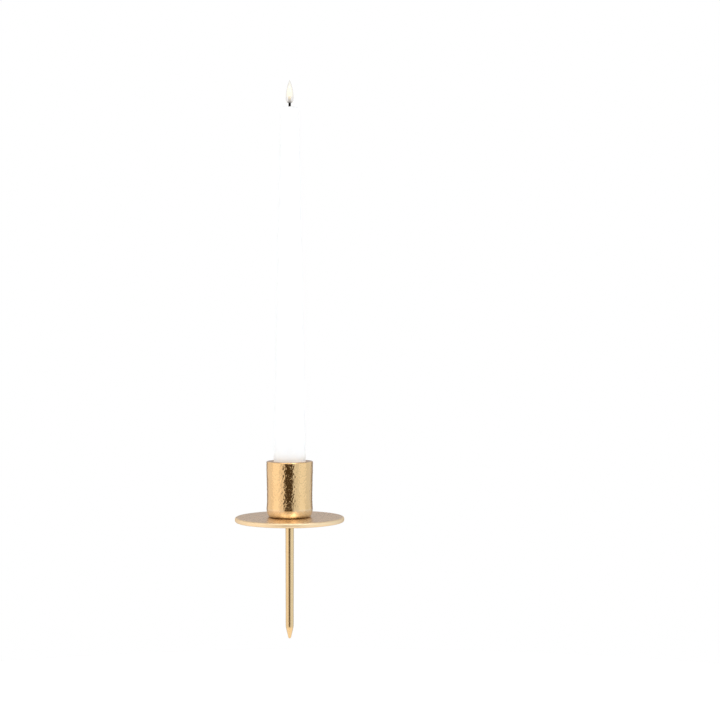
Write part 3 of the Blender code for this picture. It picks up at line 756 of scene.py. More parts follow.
@finish
def resistor_ceramic(bench, middle, half):
    """Black glaze between two tinned ends."""
    x = bench.axis(bench.places(), "X")
    tinned = bench.eased(abs(x - middle), 0.68 * half, 0.74 * half)
    grain = bench.noise(0.15 * MM, 3.0)
    glaze = bench.mixed(grain, (0.015, 0.015, 0.018), (0.03, 0.03, 0.033))
    return {
        "Base Color": bench.mixed(tinned, glaze, (0.72, 0.71, 0.69)),
        "Metallic": tinned,
        "Roughness": 0.3 + 0.25 * grain,
        "Normal": bench.bump(grain, 0.01 * MM, 0.5),
    }


# Pieces


def paint_node(node, surface_finish):
    """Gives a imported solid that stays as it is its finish."""
    for material_slot in frame["nodes"][node].material_slots:
        material_slot.material = surface_finish


class CANDLESTICK_OT_drip_plate(bpy.types.Operator):
    """Make the round drip plate: a flat disc with a rounded rim and slow waves in its faces"""

    bl_idname = "candlestick.drip_plate"
    bl_label = "Drip plate"

    def execute(self, context):
        radius, top = PLATE_HIGH.x, PLATE_HIGH.z
        corners = [(STUD_HOLE, SEAT_DEPTH, 0), (SEAT_RADIUS, SEAT_DEPTH, 0), (SEAT_RADIUS, 0.0, 0.1 * MM),
                   (radius, 0.0, PLATE_ROUND), (radius, top, PLATE_ROUND), (STUD_HOLE, top, 0)]
        profile = divided(outline(corners, steps=8), 0.5 * MM)
        depth = settings().plate_wave_depth

        def relief(grid):
            """Slow waves and a fine grain, both cut in from the true face."""
            return depth * noise(grid, 11 * MM, 3) + 0.15 * depth * noise(grid, 1.3 * MM, 4)

        place("round_plate", turned(profile, 420, relief), satin_brass(), "candlestick", "cast_brass",
              "drip_plate")
        return {"FINISHED"}


def cup_wall(height):
    """The cup's outer radius: a shallow waist, r = waist + rise (h / span)², easing in at the rim."""
    below = np.clip((CUP_WAIST_Z - height) / (CUP_WAIST_Z - CUP_BELLY_Z), 0, None)
    above = np.clip((height - CUP_WAIST_Z) / (CUP_HIGH.z - CUP_WAIST_Z), 0, None)
    crown = 0.12 * MM * np.exp((height - CUP_HIGH.z + RIM_ROUND) / (1.1 * MM))
    return CUP_WAIST + (CUP_BELLY - CUP_WAIST) * below**2 + (CUP_HIGH.x - CUP_WAIST) * above**1.3 - crown


class CANDLESTICK_OT_cup(bpy.types.Operator):
    """Make the cast cup: an upright cup with a rolled-in foot, a pebbled wall and a brushed belly"""

    bl_idname = "candlestick.cup"
    bl_label = "Candle cup"

    def execute(self, context):
        rim_z = CUP_HIGH.z - RIM_ROUND
        heights = np.linspace(CUP_BELLY_Z, rim_z, 120)
        wall = np.column_stack([cup_wall(heights), heights])
        rim_r = wall[-1, 0]
        seat = PLATE_HIGH.z + 0.02 * MM
        belly = arc((CUP_FOOT, CUP_BELLY_Z), (CUP_BELLY - CUP_FOOT, CUP_BELLY_Z - seat), -90, 0, 26)
        lip = np.vstack([arc((rim_r - RIM_ROUND, rim_z), (RIM_ROUND, RIM_ROUND), 0, 90, 6)[1:],
                         arc((CUP_BORE + RIM_ROUND, rim_z), (RIM_ROUND, RIM_ROUND), 90, 180, 6)])
        inside = outline([(CUP_BORE, rim_z, 0), (CUP_BORE, CUP_FLOOR_Z, 0.3 * MM),
                          (WELL_RADIUS, CUP_FLOOR_Z, 0.1 * MM), (WELL_RADIUS, WELL_Z, 0.15 * MM),
                          (STUD_HOLE, WELL_Z, 0)], closed=False)
        coarse = divided(np.vstack([lip[-1:], inside[1:], [(STUD_HOLE, seat)], belly[:1]]), 0.9 * MM, False)
        profile = np.vstack([belly, wall[1:], lip[:-1], coarse[:-1]])
        size, depth = settings().pebble_size, settings().pebble_depth

        def relief(grid):
            """Pebbles on the wall and slanting brush marks on the belly, cut in from the true face."""
            x, y, height = np.moveaxis(grid, -1, 0)
            pebbles = 0.55 * noise(grid, size, 1) + 0.45 * noise(grid, 0.6 * size, 2)
            on_wall = eased(height, CUP_BELLY_Z - 1 * MM, CUP_BELLY_Z + 3 * MM)
            from_front = np.abs(np.arctan2(x, -y)) * CUP_BELLY
            along, across = (height - 0.6 * from_front) / 9, (height + from_front) * 0.9
            slanted = np.stack([along, across, 0 * x], axis=-1)
            outside = (np.hypot(x, y) > CUP_BORE + 1.5 * MM) & (height < rim_z)
            marks = 0.25 * noise(slanted, 0.7 * MM, 5)
            return depth * outside * (pebbles * on_wall + marks * (1 - on_wall))

        place("cast_cup", turned(profile, 410, relief), pebbled_brass(), "candlestick", "cast_brass",
              "candle_cup")
        return {"FINISHED"}


class CANDLESTICK_OT_spike(bpy.types.Operator):
    """Make the spike: a slightly tapered pin with a blunt point below and a threaded stud on top"""

    bl_idname = "candlestick.spike"
    bl_label = "Spike and stud"

    def execute(self, context):
        top = SPIKE_HIGH.z
        blunt = 1.0 * MM
        tip = arc((0.0, SPIKE_LOW.z + blunt), (blunt, blunt), -84, -12, 8)
        shaft = outline([(*tip[-1], 0), (SPIKE_END, SPIKE_POINT_Z, 1.0 * MM),
                         (SPIKE_TOP, SHOULDER_Z, 0.15 * MM), (STUD_RADIUS, SHOULDER_Z, 0),
                         (STUD_RADIUS, CUP_LOW.z, 0)], closed=False)
        stud = open_line([(STUD_RADIUS, CUP_LOW.z, 0), (STUD_RADIUS, top - 0.3 * MM, 0),
                          (STUD_RADIUS - 0.35 * MM, top, 0), (0.1 * MM, top, 0)], 0.07 * MM)
        profile = np.vstack([tip[:-1], divided(shaft, 0.7 * MM, closed=False)[:-1], stud])

        def relief(grid):
            """The stud's thread, and slow unevenness along the pin."""
            height = grid[..., 2]
            radius = np.hypot(grid[..., 0], grid[..., 1])
            threaded = (height > CUP_LOW.z) * eased(top - height, 0.1 * MM, 0.5 * MM) * (radius > 1.5 * MM)
            uneven = 0.05 * MM * noise(grid * (0.35, 0.35, 1.0), 4 * MM, 6) * (height < -1 * MM)
            return thread(grid) * threaded + uneven

        place("pointed_spike", turned(profile, 96, relief, wraps=False), drawn_brass(), "candlestick",
              "cast_brass", "spike")
        return {"FINISHED"}


class CANDLESTICK_OT_fastening(bpy.types.Operator):
    """Make the split washer and the hexagon nut that clamp the cup and the plate to the spike"""

    bl_idname = "candlestick.fastening"
    bl_label = "Washer and nut"

    def execute(self, context):
        inner, outer = 2.2 * MM, 3.6 * MM
        half_gap = 0.4 * MM / inner
        angles = np.linspace(half_gap, TURN - half_gap, 90)
        middle = (inner + outer) / 2
        height = (WASHER_LOW.z + WASHER_HIGH.z) / 2
        path = np.stack([middle * np.cos(angles), middle * np.sin(angles), height + 0 * angles], axis=-1)
        half = (WASHER_HIGH.z - WASHER_LOW.z) / 2
        section = soft_box((outer - inner) / 2, half, all_round(32), 10)
        place("split_washer", swept(path, section, (0, 0, 1)), zinc_steel(), "candlestick", "plated_steel",
              "lock_washer")
        place("hexagon_nut", self.nut(), zinc_steel(), "candlestick", "plated_steel", "clamp_nut")
        return {"FINISHED"}

    def nut(self):
        """A hexagon, r = flat / cos(angle from the middle of the side), cut by a cone at both ends, round
        a threaded bore."""
        low, high = NUT_LOW.z, NUT_HIGH.z
        flat = NUT_HIGH.y
        corner = flat / math.cos(math.pi / 6)
        angles = all_round(144)
        side = flat / np.cos((angles % (TURN / 6)) - TURN / 12)
        heights = np.linspace(low, high, 21)[:, None]
        to_end = np.minimum(heights - low, high - heights)
        outside = np.minimum(side, corner - 0.45 * MM + 1.7 * to_end)
        bore_heights = np.linspace(high - 0.1 * MM, low + 0.1 * MM, 41)[:, None]
        phase = (bore_heights / THREAD_PITCH - angles / TURN) % 1
        bore = 2.2 * MM + THREAD_DEPTH * (1 - np.abs(2 * phase - 1))
        mouth = np.full((1, len(angles)), 2.5 * MM)
        radius = np.vstack([outside, mouth, bore, mouth])
        height = np.vstack([heights, [[high]], bore_heights, [[low]]]) + 0 * angles
        return surface(np.stack([radius * np.cos(angles), radius * np.sin(angles), height], axis=-1))


def wax_radius(height):
    """The candle's outer radius: straight in the cup, then an even taper to the top."""
    share = np.clip((height - TAPER_Z) / (WAX_HIGH.z - TAPER_Z), 0, 1)
    return WAX_HIGH.x + (WAX_TOP_RADIUS - WAX_HIGH.x) * share


class CANDLESTICK_OT_wax(bpy.types.Operator):
    """Make the wax: a hollow taper with slow dipping waves, a soft brow and a melted dish"""

    bl_idname = "candlestick.wax"
    bl_label = "Wax shell"

    def execute(self, context):
        low, top = WAX_LOW.z, WAX_HIGH.z
        brow = 1.2 * MM
        heights = np.linspace(TAPER_Z, top - brow, 190)
        wall = np.column_stack([wax_radius(heights), heights])
        outer, inner = WAX_HIGH.x, WAX_HIGH.x - WAX_WALL
        foot = outline([(inner, low, 0), (outer, low, 0.6 * MM), (outer, TAPER_Z, 0)],
                       closed=False, steps=6)
        rounding = arc((wall[-1, 0] - brow, top - brow), (brow, brow), 0, 90, 10)
        shares = np.linspace(0, 1, 22)[1:]
        dish_r = rounding[-1, 0] + (WICK_HOLE - rounding[-1, 0]) * shares
        dish = np.column_stack([dish_r, top - DISH_DEPTH * np.sin(shares * math.pi / 2) ** 1.4])
        inner_top = wax_radius(WAX_CEILING_Z) - WAX_WALL
        inside = open_line([(WICK_HOLE, top - DISH_DEPTH, 0), (WICK_HOLE, WAX_CEILING_Z, 0),
                            (inner_top, WAX_CEILING_Z, 0.4 * MM), (inner, TAPER_Z, 0), (inner, low, 0)],
                           4 * MM)
        profile = np.vstack([divided(foot, 1.2 * MM, False)[:-1], wall, rounding[1:], dish, inside[1:-1]])
        depth = settings().wax_wave_depth

        def relief(grid):
            """Dipping waves down the outside, shallower in the cup, and an uneven dish."""
            x, y, height = np.moveaxis(grid, -1, 0)
            outside = np.hypot(x, y) > wax_radius(height) - 0.9 * WAX_WALL
            waves = noise(grid * (1.0, 1.0, 0.3), 6 * MM, 7) + 0.25 * noise(grid, 2.5 * MM, 8)
            dished = (height > WAX_CEILING_Z + 1 * MM) & (np.hypot(x, y) > WICK_HOLE + 0.2 * MM)
            return depth * waves * (outside | dished)

        place("tapered_wax", turned(profile, 180, relief), white_wax(), "candle", "wax", "wax_shell")
        return {"FINISHED"}


class CANDLESTICK_OT_core(bpy.types.Operator):
    """Make the plastic core inside the wax, and the stepped plug that holds the wick"""

    bl_idname = "candlestick.core"
    bl_label = "Core and wick plug"

    def execute(self, context):
        low, top = CORE_LOW.z, CORE_HIGH.z
        foot = WAX_HIGH.x - CORE_INSET
        crown = wax_radius(top)
        narrow = CORE_INSET + CORE_WALL
        core = outline([(CORE_BORE, low, 0.25 * MM), (foot, low, 0.25 * MM), (foot, TAPER_Z, 0),
                        (crown - CORE_INSET, top, 0.2 * MM), (crown - narrow, top, 0.2 * MM),
                        (wax_radius(LEDGE_Z) - narrow - 0.4 * MM, LEDGE_Z, 0), (CORE_BORE, LEDGE_Z, 0)])
        place("inner_core", turned(divided(core, 5 * MM), 96), white_plastic(), "candle", "white_plastic",
              "core_tube")
        step_z = top + 0.3 * MM
        body = crown - narrow - 0.3 * MM
        hole = WICK_HIGH.x + 0.3 * MM
        plug = outline([(hole, PLUG_LOW.z, 0), (body, PLUG_LOW.z, 0.4 * MM), (body, step_z, 0),
                        (PLUG_HIGH.x, step_z, 0), (PLUG_HIGH.x, PLUG_HIGH.z, 0.3 * MM),
                        (hole, PLUG_HIGH.z, 0)])
        place("stepped_plug", turned(divided(plug, 1 * MM), 64), white_plastic(), "candle", "white_plastic",
              "wick_plug")
        return {"FINISHED"}


class CANDLESTICK_OT_flame(bpy.types.Operator):
    """Make the black wick, the LED on its end and the flame-shaped lens over it"""

    bl_idname = "candlestick.flame"
    bl_label = "Wick, LED and flame"

    def execute(self, context):
        bore = 0.62 * MM
        wick = divided(outline([(bore, WICK_LOW.z, 0), (WICK_HIGH.x, WICK_LOW.z, 0.1 * MM),
                                (WICK_HIGH.x, WICK_HIGH.z, 0.1 * MM), (bore, WICK_HIGH.z, 0)]), 0.14 * MM)

        def braid(grid):
            """Crossing strands: the product of two waves that climb opposite ways round."""
            x, y, height = np.moveaxis(grid, -1, 0)
            angle, climb = np.arctan2(y, x), height * TURN / (1.6 * MM)
            crossed = np.abs(np.sin(3 * angle + climb) * np.sin(3 * angle - climb))
            return 0.07 * MM * (1 - crossed) * (np.hypot(x, y) > bore + 0.1 * MM)

        place("braided_wick", turned(wick, 60, braid), charred_wick(), "candle", "black_plastic",
              "wick_sleeve")

        flange_z = LED_LOW.z + 0.6 * MM
        dome_z = LED_HIGH.z - LED_RADIUS
        flange = outline([(NEAR_AXIS, LED_LOW.z, 0), (LED_HIGH.x, LED_LOW.z, 0.1 * MM),
                          (LED_HIGH.x, flange_z, 0.1 * MM), (LED_RADIUS, flange_z, 0)], closed=False)
        led = np.vstack([flange, arc((0.0, dome_z), (LED_RADIUS, LED_RADIUS), 0, 87, 14)])
        place("warm_led", turned(led, 48, wraps=False), lit_led(), "candle", "clear_lens", "led")

        widest = LENS_HIGH.x
        foot_size = (widest - LENS_SOCKET, LENS_WIDEST_Z - LENS_LOW.z)
        foot = arc((LENS_SOCKET, LENS_WIDEST_Z), foot_size, -90, 0, 16)
        share = np.linspace(0, 1, 60)[1:-1]
        rise = LENS_HIGH.z - LENS_WIDEST_Z
        flank = np.column_stack([widest * (1 - share**1.9) ** 0.9, LENS_WIDEST_Z + rise * share])
        socket_z = LED_HIGH.z + 0.3 * MM - LENS_SOCKET
        point = [(TIP_RADIUS, LENS_HIGH.z)]
        socket = np.vstack([arc((0.0, socket_z), (LENS_SOCKET, LENS_SOCKET), 88, 0, 12),
                            [(LENS_SOCKET, LENS_LOW.z)]])
        profile = np.vstack([socket, foot[1:], flank, point])
        place("flame_teardrop", turned(profile, 96, wraps=False), flame_glass(), "candle", "clear_lens",
              "flame_lens")
        return {"FINISHED"}


def holder_radius(angles, grooved=True):
    """The battery holder's outer radius: round, with a flat-floored groove down its back."""
    back = np.where(np.sin(angles) > 0.5, np.sin(angles), 1.0)
    floor = GROOVE_Y / back
    in_groove = (np.sin(angles) > 0.5) & (np.abs(floor * np.cos(angles)) < GROOVE_HALF)
    return np.where(in_groove & grooved, floor, HOLDER_HIGH.x)


class CANDLESTICK_OT_cradle(bpy.types.Operator):
    """Make the battery holder: a plug with the switch's pocket, an open cradle and its top wall"""

    bl_idname = "candlestick.cradle"
    bl_label = "Battery holder"

    def execute(self, context):
        place("battery_cradle", together(self.plug(), self.cradle(), self.top_wall()), white_plastic(),
              "battery_foot", "white_plastic", "battery_holder")
        return {"FINISHED"}

    def plug(self):
        """Outlines one above another: the pocket's ceiling and mouth, the foot's edge, the plug's side."""
        angles = all_round(HOLDER_COLUMNS)
        pocket = soft_box(*POCKET_HALF, angles, 20)
        unit = ring(1.0, HOLDER_COLUMNS)
        round_outline, grooved = (holder_radius(angles, kind)[:, None] * unit for kind in (False, True))
        low, edge = HOLDER_LOW.z, 0.3 * MM
        levels = [(pocket, POCKET_TOP_Z), (pocket, low), (round_outline * (1 - edge / HOLDER_HIGH.x), low),
                  (round_outline, low + edge), (round_outline, GROOVE_LOW_Z), (grooved, GROOVE_LOW_Z),
                  (grooved, CRADLE_LOW_Z)]
        return surface(stacked(levels), wraps=False)

    def cradle(self):
        """A rectangle of wall carried round the back from lip to lip; each lip is cut flat, at the angle
        asin(front / r)."""
        low, high = CRADLE_LOW_Z - 0.2 * MM, CRADLE_TOP_Z + 0.2 * MM
        count = 200
        share = np.linspace(0, 1, count)
        heights = np.linspace(low, high, 12)
        sides = []
        for radius in (HOLDER_HIGH.x, CRADLE_BORE):
            start = math.asin(CRADLE_FRONT / radius)
            angles = start + (math.pi - 2 * start) * share
            radii = holder_radius(angles) if radius > CRADLE_BORE else np.full(count, radius)
            sides.append(np.column_stack([radii * np.cos(angles), radii * np.sin(angles)]))
        loops = [np.dstack([np.repeat(side[:, None], len(heights), axis=1),
                            np.repeat(rising[None, :], count, axis=0)])
                 for side, rising in zip(sides, (heights, heights[::-1]))]
        return surface(np.concatenate(loops, axis=1), wraps=False)

    def top_wall(self):
        """The grooved outline and the rivet's hole, joined over the top and the underside."""
        angles = all_round(HOLDER_COLUMNS)
        grooved = holder_radius(angles)[:, None] * ring(1.0, HOLDER_COLUMNS)
        hole = ring(1.0 * MM, HOLDER_COLUMNS)
        high, edge = HOLDER_HIGH.z, 0.2 * MM
        levels = [(hole, CRADLE_TOP_Z), (grooved, CRADLE_TOP_Z), (grooved, high - edge),
                  (grooved * (1 - edge / HOLDER_HIGH.x), high), (hole, high)]
        return surface(stacked(levels))


def screw(low, high, middle):
    """A pan head below with a cross recess, and a threaded shank above with a cone point."""
    head, shank = 1.4 * MM, 0.65 * MM
    seat = low + 0.6 * MM
    corners = [(TIP_RADIUS, low, 0), (head, low, 0.2 * MM), (head, seat, 0.05 * MM), (shank, seat, 0),
               (shank, high - shank, 0), (TIP_RADIUS, high, 0)]
    profile = open_line(corners, 0.06 * MM)

    def relief(grid):
        """The cross recess in the head's face, and the shank's thread."""
        across = np.sort(np.abs(grid[..., :2]), axis=-1)
        on_face = grid[..., 2] < low + 0.3 * MM
        slot = 1 - eased(across[..., 0], 0.16 * MM, 0.26 * MM)
        slot = slot * (1 - eased(across[..., 1], 0.75 * MM, 0.95 * MM))
        on_shank = grid[..., 2] > seat + 0.2 * MM
        return 0.35 * MM * slot * on_face + 0.6 * thread(grid) * on_shank

    return turned(profile, 72, relief, wraps=False, middle=middle)


class CANDLESTICK_OT_cover(bpy.types.Operator):
    """Finish the base cover and make its two cross-head screws"""

    bl_idname = "candlestick.cover"
    bl_label = "Base cover and screws"

    def execute(self, context):
        paint_node("base_cover", white_plastic())
        for name in ("front", "rear"):
            low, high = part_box(f"cover_screw_{name}")
            middle = (0.0, (low.y + high.y) / 2)
            place(f"cross_head_screw_{name}", screw(low.z, high.z, middle), zinc_steel(), "battery_foot",
                  "plated_steel", f"cover_screw_{name}")
        return {"FINISHED"}


class CANDLESTICK_OT_switch(bpy.types.Operator):
    """Finish the switch's case and make its knob: a foot in the case and a ridged stem below it"""

    bl_idname = "candlestick.switch"
    bl_label = "Slide switch"

    def execute(self, context):
        paint_node("switch_case", zinc_steel())
        middle = ((KNOB_LOW.x + KNOB_HIGH.x) / 2, 0.0)
        foot_height = 1.2 * MM
        foot_z = KNOB_HIGH.z - foot_height
        foot = slab((KNOB_HIGH.x - KNOB_LOW.x, KNOB_HIGH.y - KNOB_LOW.y, foot_height), foot_z, middle)
        place("ridged_knob", together(foot, self.stem(middle, foot_z + 0.3 * MM)),
              moulded_plastic("black_moulding", (0.018, 0.018, 0.019), 0.48), "switch", "black_plastic",
              "switch_knob")
        return {"FINISHED"}

    def stem(self, middle, top):
        """A soft-cornered stem. Its end has four ridges across its travel, (1 - cos(turns x)) / 2 deep."""
        angles = all_round(96)
        half = np.array([1.3 * MM, 1.0 * MM])
        end = [(soft_box(*(half * share), angles, 12), KNOB_LOW.z) for share in np.linspace(0.03, 0.92, 22)]
        side = [(soft_box(*half, angles, 12), z) for z in (KNOB_LOW.z + 0.12 * MM, top)]
        grid = stacked(end + side)
        grid[:len(end), :, 2] += 0.15 * MM * (1 - np.cos(grid[:len(end), :, 0] / half[0] * 2 * TURN)) / 2
        grid[..., :2] += middle
        return surface(grid, wraps=False)


class CANDLESTICK_OT_batteries(bpy.types.Operator):
    """Make the two small cells: a jacketed can with rolled ends, a ringed base and a button"""

    bl_idname = "candlestick.batteries"
    bl_label = "Batteries"

    def execute(self, context):
        for name in ("battery_lower", "battery_upper"):
            low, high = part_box(name)
            radius, base, top = high.x, low.z, high.z
            shoulder = top - 0.9 * MM
            corners = [(NEAR_AXIS, base, 0), (3.6 * MM, base, 0.15 * MM),
                       (3.9 * MM, base + 0.35 * MM, 0.15 * MM), (4.4 * MM, base + 0.1 * MM, 0.2 * MM),
                       (radius - 0.1 * MM, base + 0.1 * MM, 0.35 * MM), (radius, base + 0.8 * MM, 0.1 * MM),
                       (radius, shoulder - 0.6 * MM, 0.1 * MM), (radius - 0.1 * MM, shoulder, 0.4 * MM),
                       (4.2 * MM, shoulder, 0.2 * MM), (3.8 * MM, shoulder - 0.3 * MM, 0.15 * MM),
                       (2.2 * MM, shoulder - 0.2 * MM, 0.2 * MM), (1.9 * MM, top, 0.35 * MM),
                       (NEAR_AXIS, top, 0)]
            profile = open_line(corners, 3 * MM)
            place(name + "_cell", turned(profile, 96, wraps=False),
                  jacket("jacket_of_" + name, base, shoulder), "battery_foot", "battery_jacket", name)
        return {"FINISHED"}


class CANDLESTICK_OT_contacts(bpy.types.Operator):
    """Make the springs, the contact rivet and the strip that brings the current back up"""

    bl_idname = "candlestick.contacts"
    bl_label = "Springs, rivet and strip"

    def execute(self, context):
        low_r, top_r = SPRING_RADIUS
        start_z = CRADLE_LOW_Z + 0.3 * MM + SPRING_WIRE
        turns = np.linspace(0, math.pi / 2, 10)[:-1]
        bend = np.column_stack([np.full_like(turns, low_r), -SPRING_BEND * np.cos(turns),
                                start_z - SPRING_BEND + SPRING_BEND * np.sin(turns)])
        tail = np.array([(low_r, -SPRING_BEND, SPRING_LOW.z)])
        coil = helix(start_z, SPRING_HIGH.z - SPRING_WIRE, low_r, top_r, 4)
        path = np.vstack([tail, bend, coil])
        outwards = path * (1, 1, 0)
        place("cone_spring", swept(path, ring(SPRING_WIRE, 14), outwards), nickel(), "battery_foot",
              "spring_nickel", "negative_spring")

        disc, head = 0.4 * MM, 0.6 * MM
        rivet = outline([(NEAR_AXIS, RIVET_LOW.z, 0), (RIVET_HIGH.x, RIVET_LOW.z, 0.1 * MM),
                         (RIVET_HIGH.x, RIVET_LOW.z + disc, 0.1 * MM), (0.7 * MM, RIVET_LOW.z + disc, 0),
                         (0.7 * MM, RIVET_HIGH.z - head, 0), (1.6 * MM, RIVET_HIGH.z - head, 0.1 * MM),
                         (1.4 * MM, RIVET_HIGH.z, 0.5 * MM), (NEAR_AXIS, RIVET_HIGH.z, 0)], closed=False)
        place("contact_rivet", turned(rivet, 72, wraps=False), nickel(), "battery_foot", "spring_nickel",
              "positive_rivet")

        half = STRIP_THICKNESS / 2
        line = outline([(STRIP_LOW.y, STRIP_LOW.z + half, 0),
                        (STRIP_HIGH.y - half, STRIP_LOW.z + half, 0.25 * MM),
                        (STRIP_HIGH.y - half, STRIP_HIGH.z - half, 0.25 * MM),
                        (3.4 * MM, STRIP_HIGH.z - half, 0)], closed=False, steps=8)
        line = divided(line, 3 * MM, closed=False)
        path = np.column_stack([0 * line[:, 0], line])
        section = soft_box(half, STRIP_HIGH.x, all_round(48), 10)
        place("bent_strip", swept(path, section, (1, 0, 0)), nickel(), "battery_foot", "spring_nickel",
              "return_strip")

        for name in ("positive_board_spring", "negative_board_spring"):
            low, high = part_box(name)
            middle = (0, (low.y + high.y) / 2, 0)
            coil = helix(low.z + BOARD_SPRING_WIRE, high.z - BOARD_SPRING_WIRE, *BOARD_SPRING_RADIUS, 2.5)
            shell = swept(coil + middle, ring(BOARD_SPRING_WIRE, 12), coil * (1, 1, 0))
            place(name + "_coil", shell, nickel(), "candle", "spring_nickel", name)
        return {"FINISHED"}


class CANDLESTICK_OT_electronics(bpy.types.Operator):
    """Make the round board, the timer chip with its legs, the resistor and the solder joints"""

    bl_idname = "candlestick.electronics"
    bl_label = "Board, chip and resistor"

    def execute(self, context):
        low, top, radius = BOARD_LOW.z, BOARD_HIGH.z, BOARD_HIGH.x
        disc = open_line([(NEAR_AXIS, low, 0), (radius, low, 0.08 * MM), (radius, top, 0.08 * MM),
                          (NEAR_AXIS, top, 0)], 1 * MM)
        place("round_board", turned(disc, 120, wraps=False), solder_mask(), "candle", "board",
              "circuit_board")

        chip_middle = (0.0, (CHIP_LOW.y + CHIP_HIGH.y) / 2)
        reach = (CHIP_HIGH.y - CHIP_LOW.y) / 2
        body_half = reach - 0.5 * MM
        body = slab((CHIP_HIGH.x - CHIP_LOW.x, 2 * body_half, CHIP_HIGH.z - CHIP_LOW.z - 0.15 * MM),
                    CHIP_LOW.z + 0.15 * MM, chip_middle, 0.12 * MM, power=24)
        place("chip_body", body, moulded_plastic("chip_resin", (0.022, 0.022, 0.024), 0.55), "candle",
              "black_plastic", "timer_chip")
        legs = []
        section = soft_box(0.09 * MM, 0.2 * MM, all_round(24), 8)
        for side in (-1, 1):
            for x in np.linspace(-1.905, 1.905, 4) * MM:
                knee = CHIP_LOW.z + 0.65 * MM
                line = outline([(body_half - 0.2 * MM, knee, 0), (body_half + 0.18 * MM, knee, 0.12 * MM),
                                (body_half + 0.18 * MM, CHIP_LOW.z + 0.09 * MM, 0.12 * MM),
                                (reach, CHIP_LOW.z + 0.09 * MM, 0)], closed=False, steps=5)
                y = side * line[:, 0] + chip_middle[1]
                path = np.column_stack([np.full(len(line), x), y, line[:, 1]])
                legs.append(swept(path, section, (1, 0, 0)))
        place("chip_legs", together(*legs), nickel(), "candle", "spring_nickel")

        size = RESISTOR_HIGH - RESISTOR_LOW
        middle = (RESISTOR_HIGH + RESISTOR_LOW) / 2
        place("chip_resistor", slab(size, RESISTOR_LOW.z, middle.xy, 0.08 * MM, power=24),
              resistor_ceramic("resistor_ceramic", middle.x, size.x / 2), "candle", "black_plastic",
              "resistor")

        joints = []
        for x, y in ((-1.2, 3.0), (1.2, 3.0), (-3.6, 2.4), (3.2, 3.4)):
            heights = arc((0.0, top), (0.75 * MM, 0.5 * MM), 0, 86, 8)
            joints.append(turned(np.vstack([[(0.75 * MM, top - 0.1 * MM)], heights]), 32, wraps=False,
                                 middle=(x * MM, y * MM)))
        place("solder_joints", together(*joints), nickel(), "candle", "spring_nickel")
        return {"FINISHED"}


class CANDLESTICK_OT_wires(bpy.types.Operator):
    """Make the two enamelled wires from the board up to the LED"""

    bl_idname = "candlestick.wires"
    bl_label = "LED wires"

    def execute(self, context):
        start_z = BOARD_HIGH.z + 0.3 * MM
        neck_z = WAX_HIGH.z - 17 * MM
        span = neck_z - start_z
        bends = ((1.2, 3.0, 0.0), (1.3, 3.0, 0.12), (2.0, 0.6, 0.4), (1.5, -0.8, 0.7))
        copper = bare_metal("copper_enamel", (0.72, 0.36, 0.20), 0.30)
        for name, side in (("positive", -1), ("negative", 1)):
            in_wick = side * 0.33 * MM
            stations = [(side * out * MM, y * MM, start_z + share * span) for out, y, share in bends]
            stations += [(in_wick, 0.0, neck_z), (in_wick, 0.0, WICK_HIGH.z)]
            wire = swept(smooth_route(stations), ring(WIRE_RADIUS, 12), (1, 0, 0))
            place(f"enamelled_wire_{name}", wire, copper, "candle", "copper", f"led_wire_{name}")
        return {"FINISHED"}


# Studio

STREAK_BEARING = -2  # degrees to the right of the camera
WINDOW_BEARING = 28  # degrees to either side
LAMP_REACH = 0.9
LAMP_AIM = (0.0, 0.0, 0.1)
FLOOR_RADIUS = 3.0
FLOOR_THICKNESS = 0.02


def studio_world():
    """White to the eye. In reflections it is a studio: dark round the camera, grey behind the object,
    bright sides with dim upper corners, a bright ceiling with two windows, and a white floor."""
    choice = settings()
    world = bpy.data.worlds.new("studio")
    bpy.context.scene.world = world
    world.use_nodes = True
    bench = Bench(world.node_tree)
    direction = bench.node("TexCoord", {}, {}, "Generated")
    x, y, z = (bench.axis(direction, name) for name in "XYZ")
    bearing = bench.node("Math", {"operation": "ARCTAN2"}, {0: x, 1: 0 - y})
    aside = abs(bearing)

    def beyond(angle, start, end):
        """0 below the start angle and 1 past the end angle, in degrees."""
        return bench.eased(angle, math.radians(start), math.radians(end))

    off_streak = abs(bearing - math.radians(STREAK_BEARING))
    dark = (1 - beyond(off_streak, 15, 31)) * bench.band(z, (-0.50, -0.34), (0.08, 0.30))
    behind = beyond(aside, 128, 152) * (1 - bench.eased(z, 0.3, 0.6))
    corners = beyond(aside, 55, 80) * bench.eased(z, 0.5, 0.75)
    overhead = (1 - beyond(aside, 42, 58)) * bench.eased(z, 0.5, 0.62)
    off_window = abs(aside - math.radians(WINDOW_BEARING))
    windows = (1 - beyond(off_window, 8, 15)) * bench.band(z, (0.4, 0.5), (0.82, 0.9))
    underfoot = 1 - bench.eased(z, -0.5, -0.3)

    to_right = bench.eased(x, -0.3, 0.3)
    room = bench.mixed(to_right, choice.left_tone, choice.right_tone)
    room = bench.mixed(corners * 0.85, room, (0.25, 0.22, 0.20))
    room = bench.mixed(overhead, room, (1.4, 1.4, 1.4))
    room = bench.mixed(windows, room, bench.mixed(to_right, (2.0, 2.0, 2.0), (4.0, 4.0, 4.2)))
    room = bench.mixed(underfoot, room, (1.1, 1.05, 1.0))
    back_wall = bench.mixed(bench.eased(z, 0.0, 0.25), (0.30, 0.27, 0.25), (0.63, 0.61, 0.66))
    room = bench.mixed(behind, room, back_wall)
    mirrored = bench.mixed(dark, room, (0.06, 0.042, 0.02))
    softened = bench.mixed(bench.ray("Diffuse"), mirrored, [choice.ambient] * 3)
    seen = bench.mixed(bench.ray("Camera", "Transmission"), softened, (1.0, 1.0, 1.0))
    background = bench.node("Background", {}, {"Color": seen, "Strength": 1.0})
    bench.node("OutputWorld", {}, {"Surface": background})


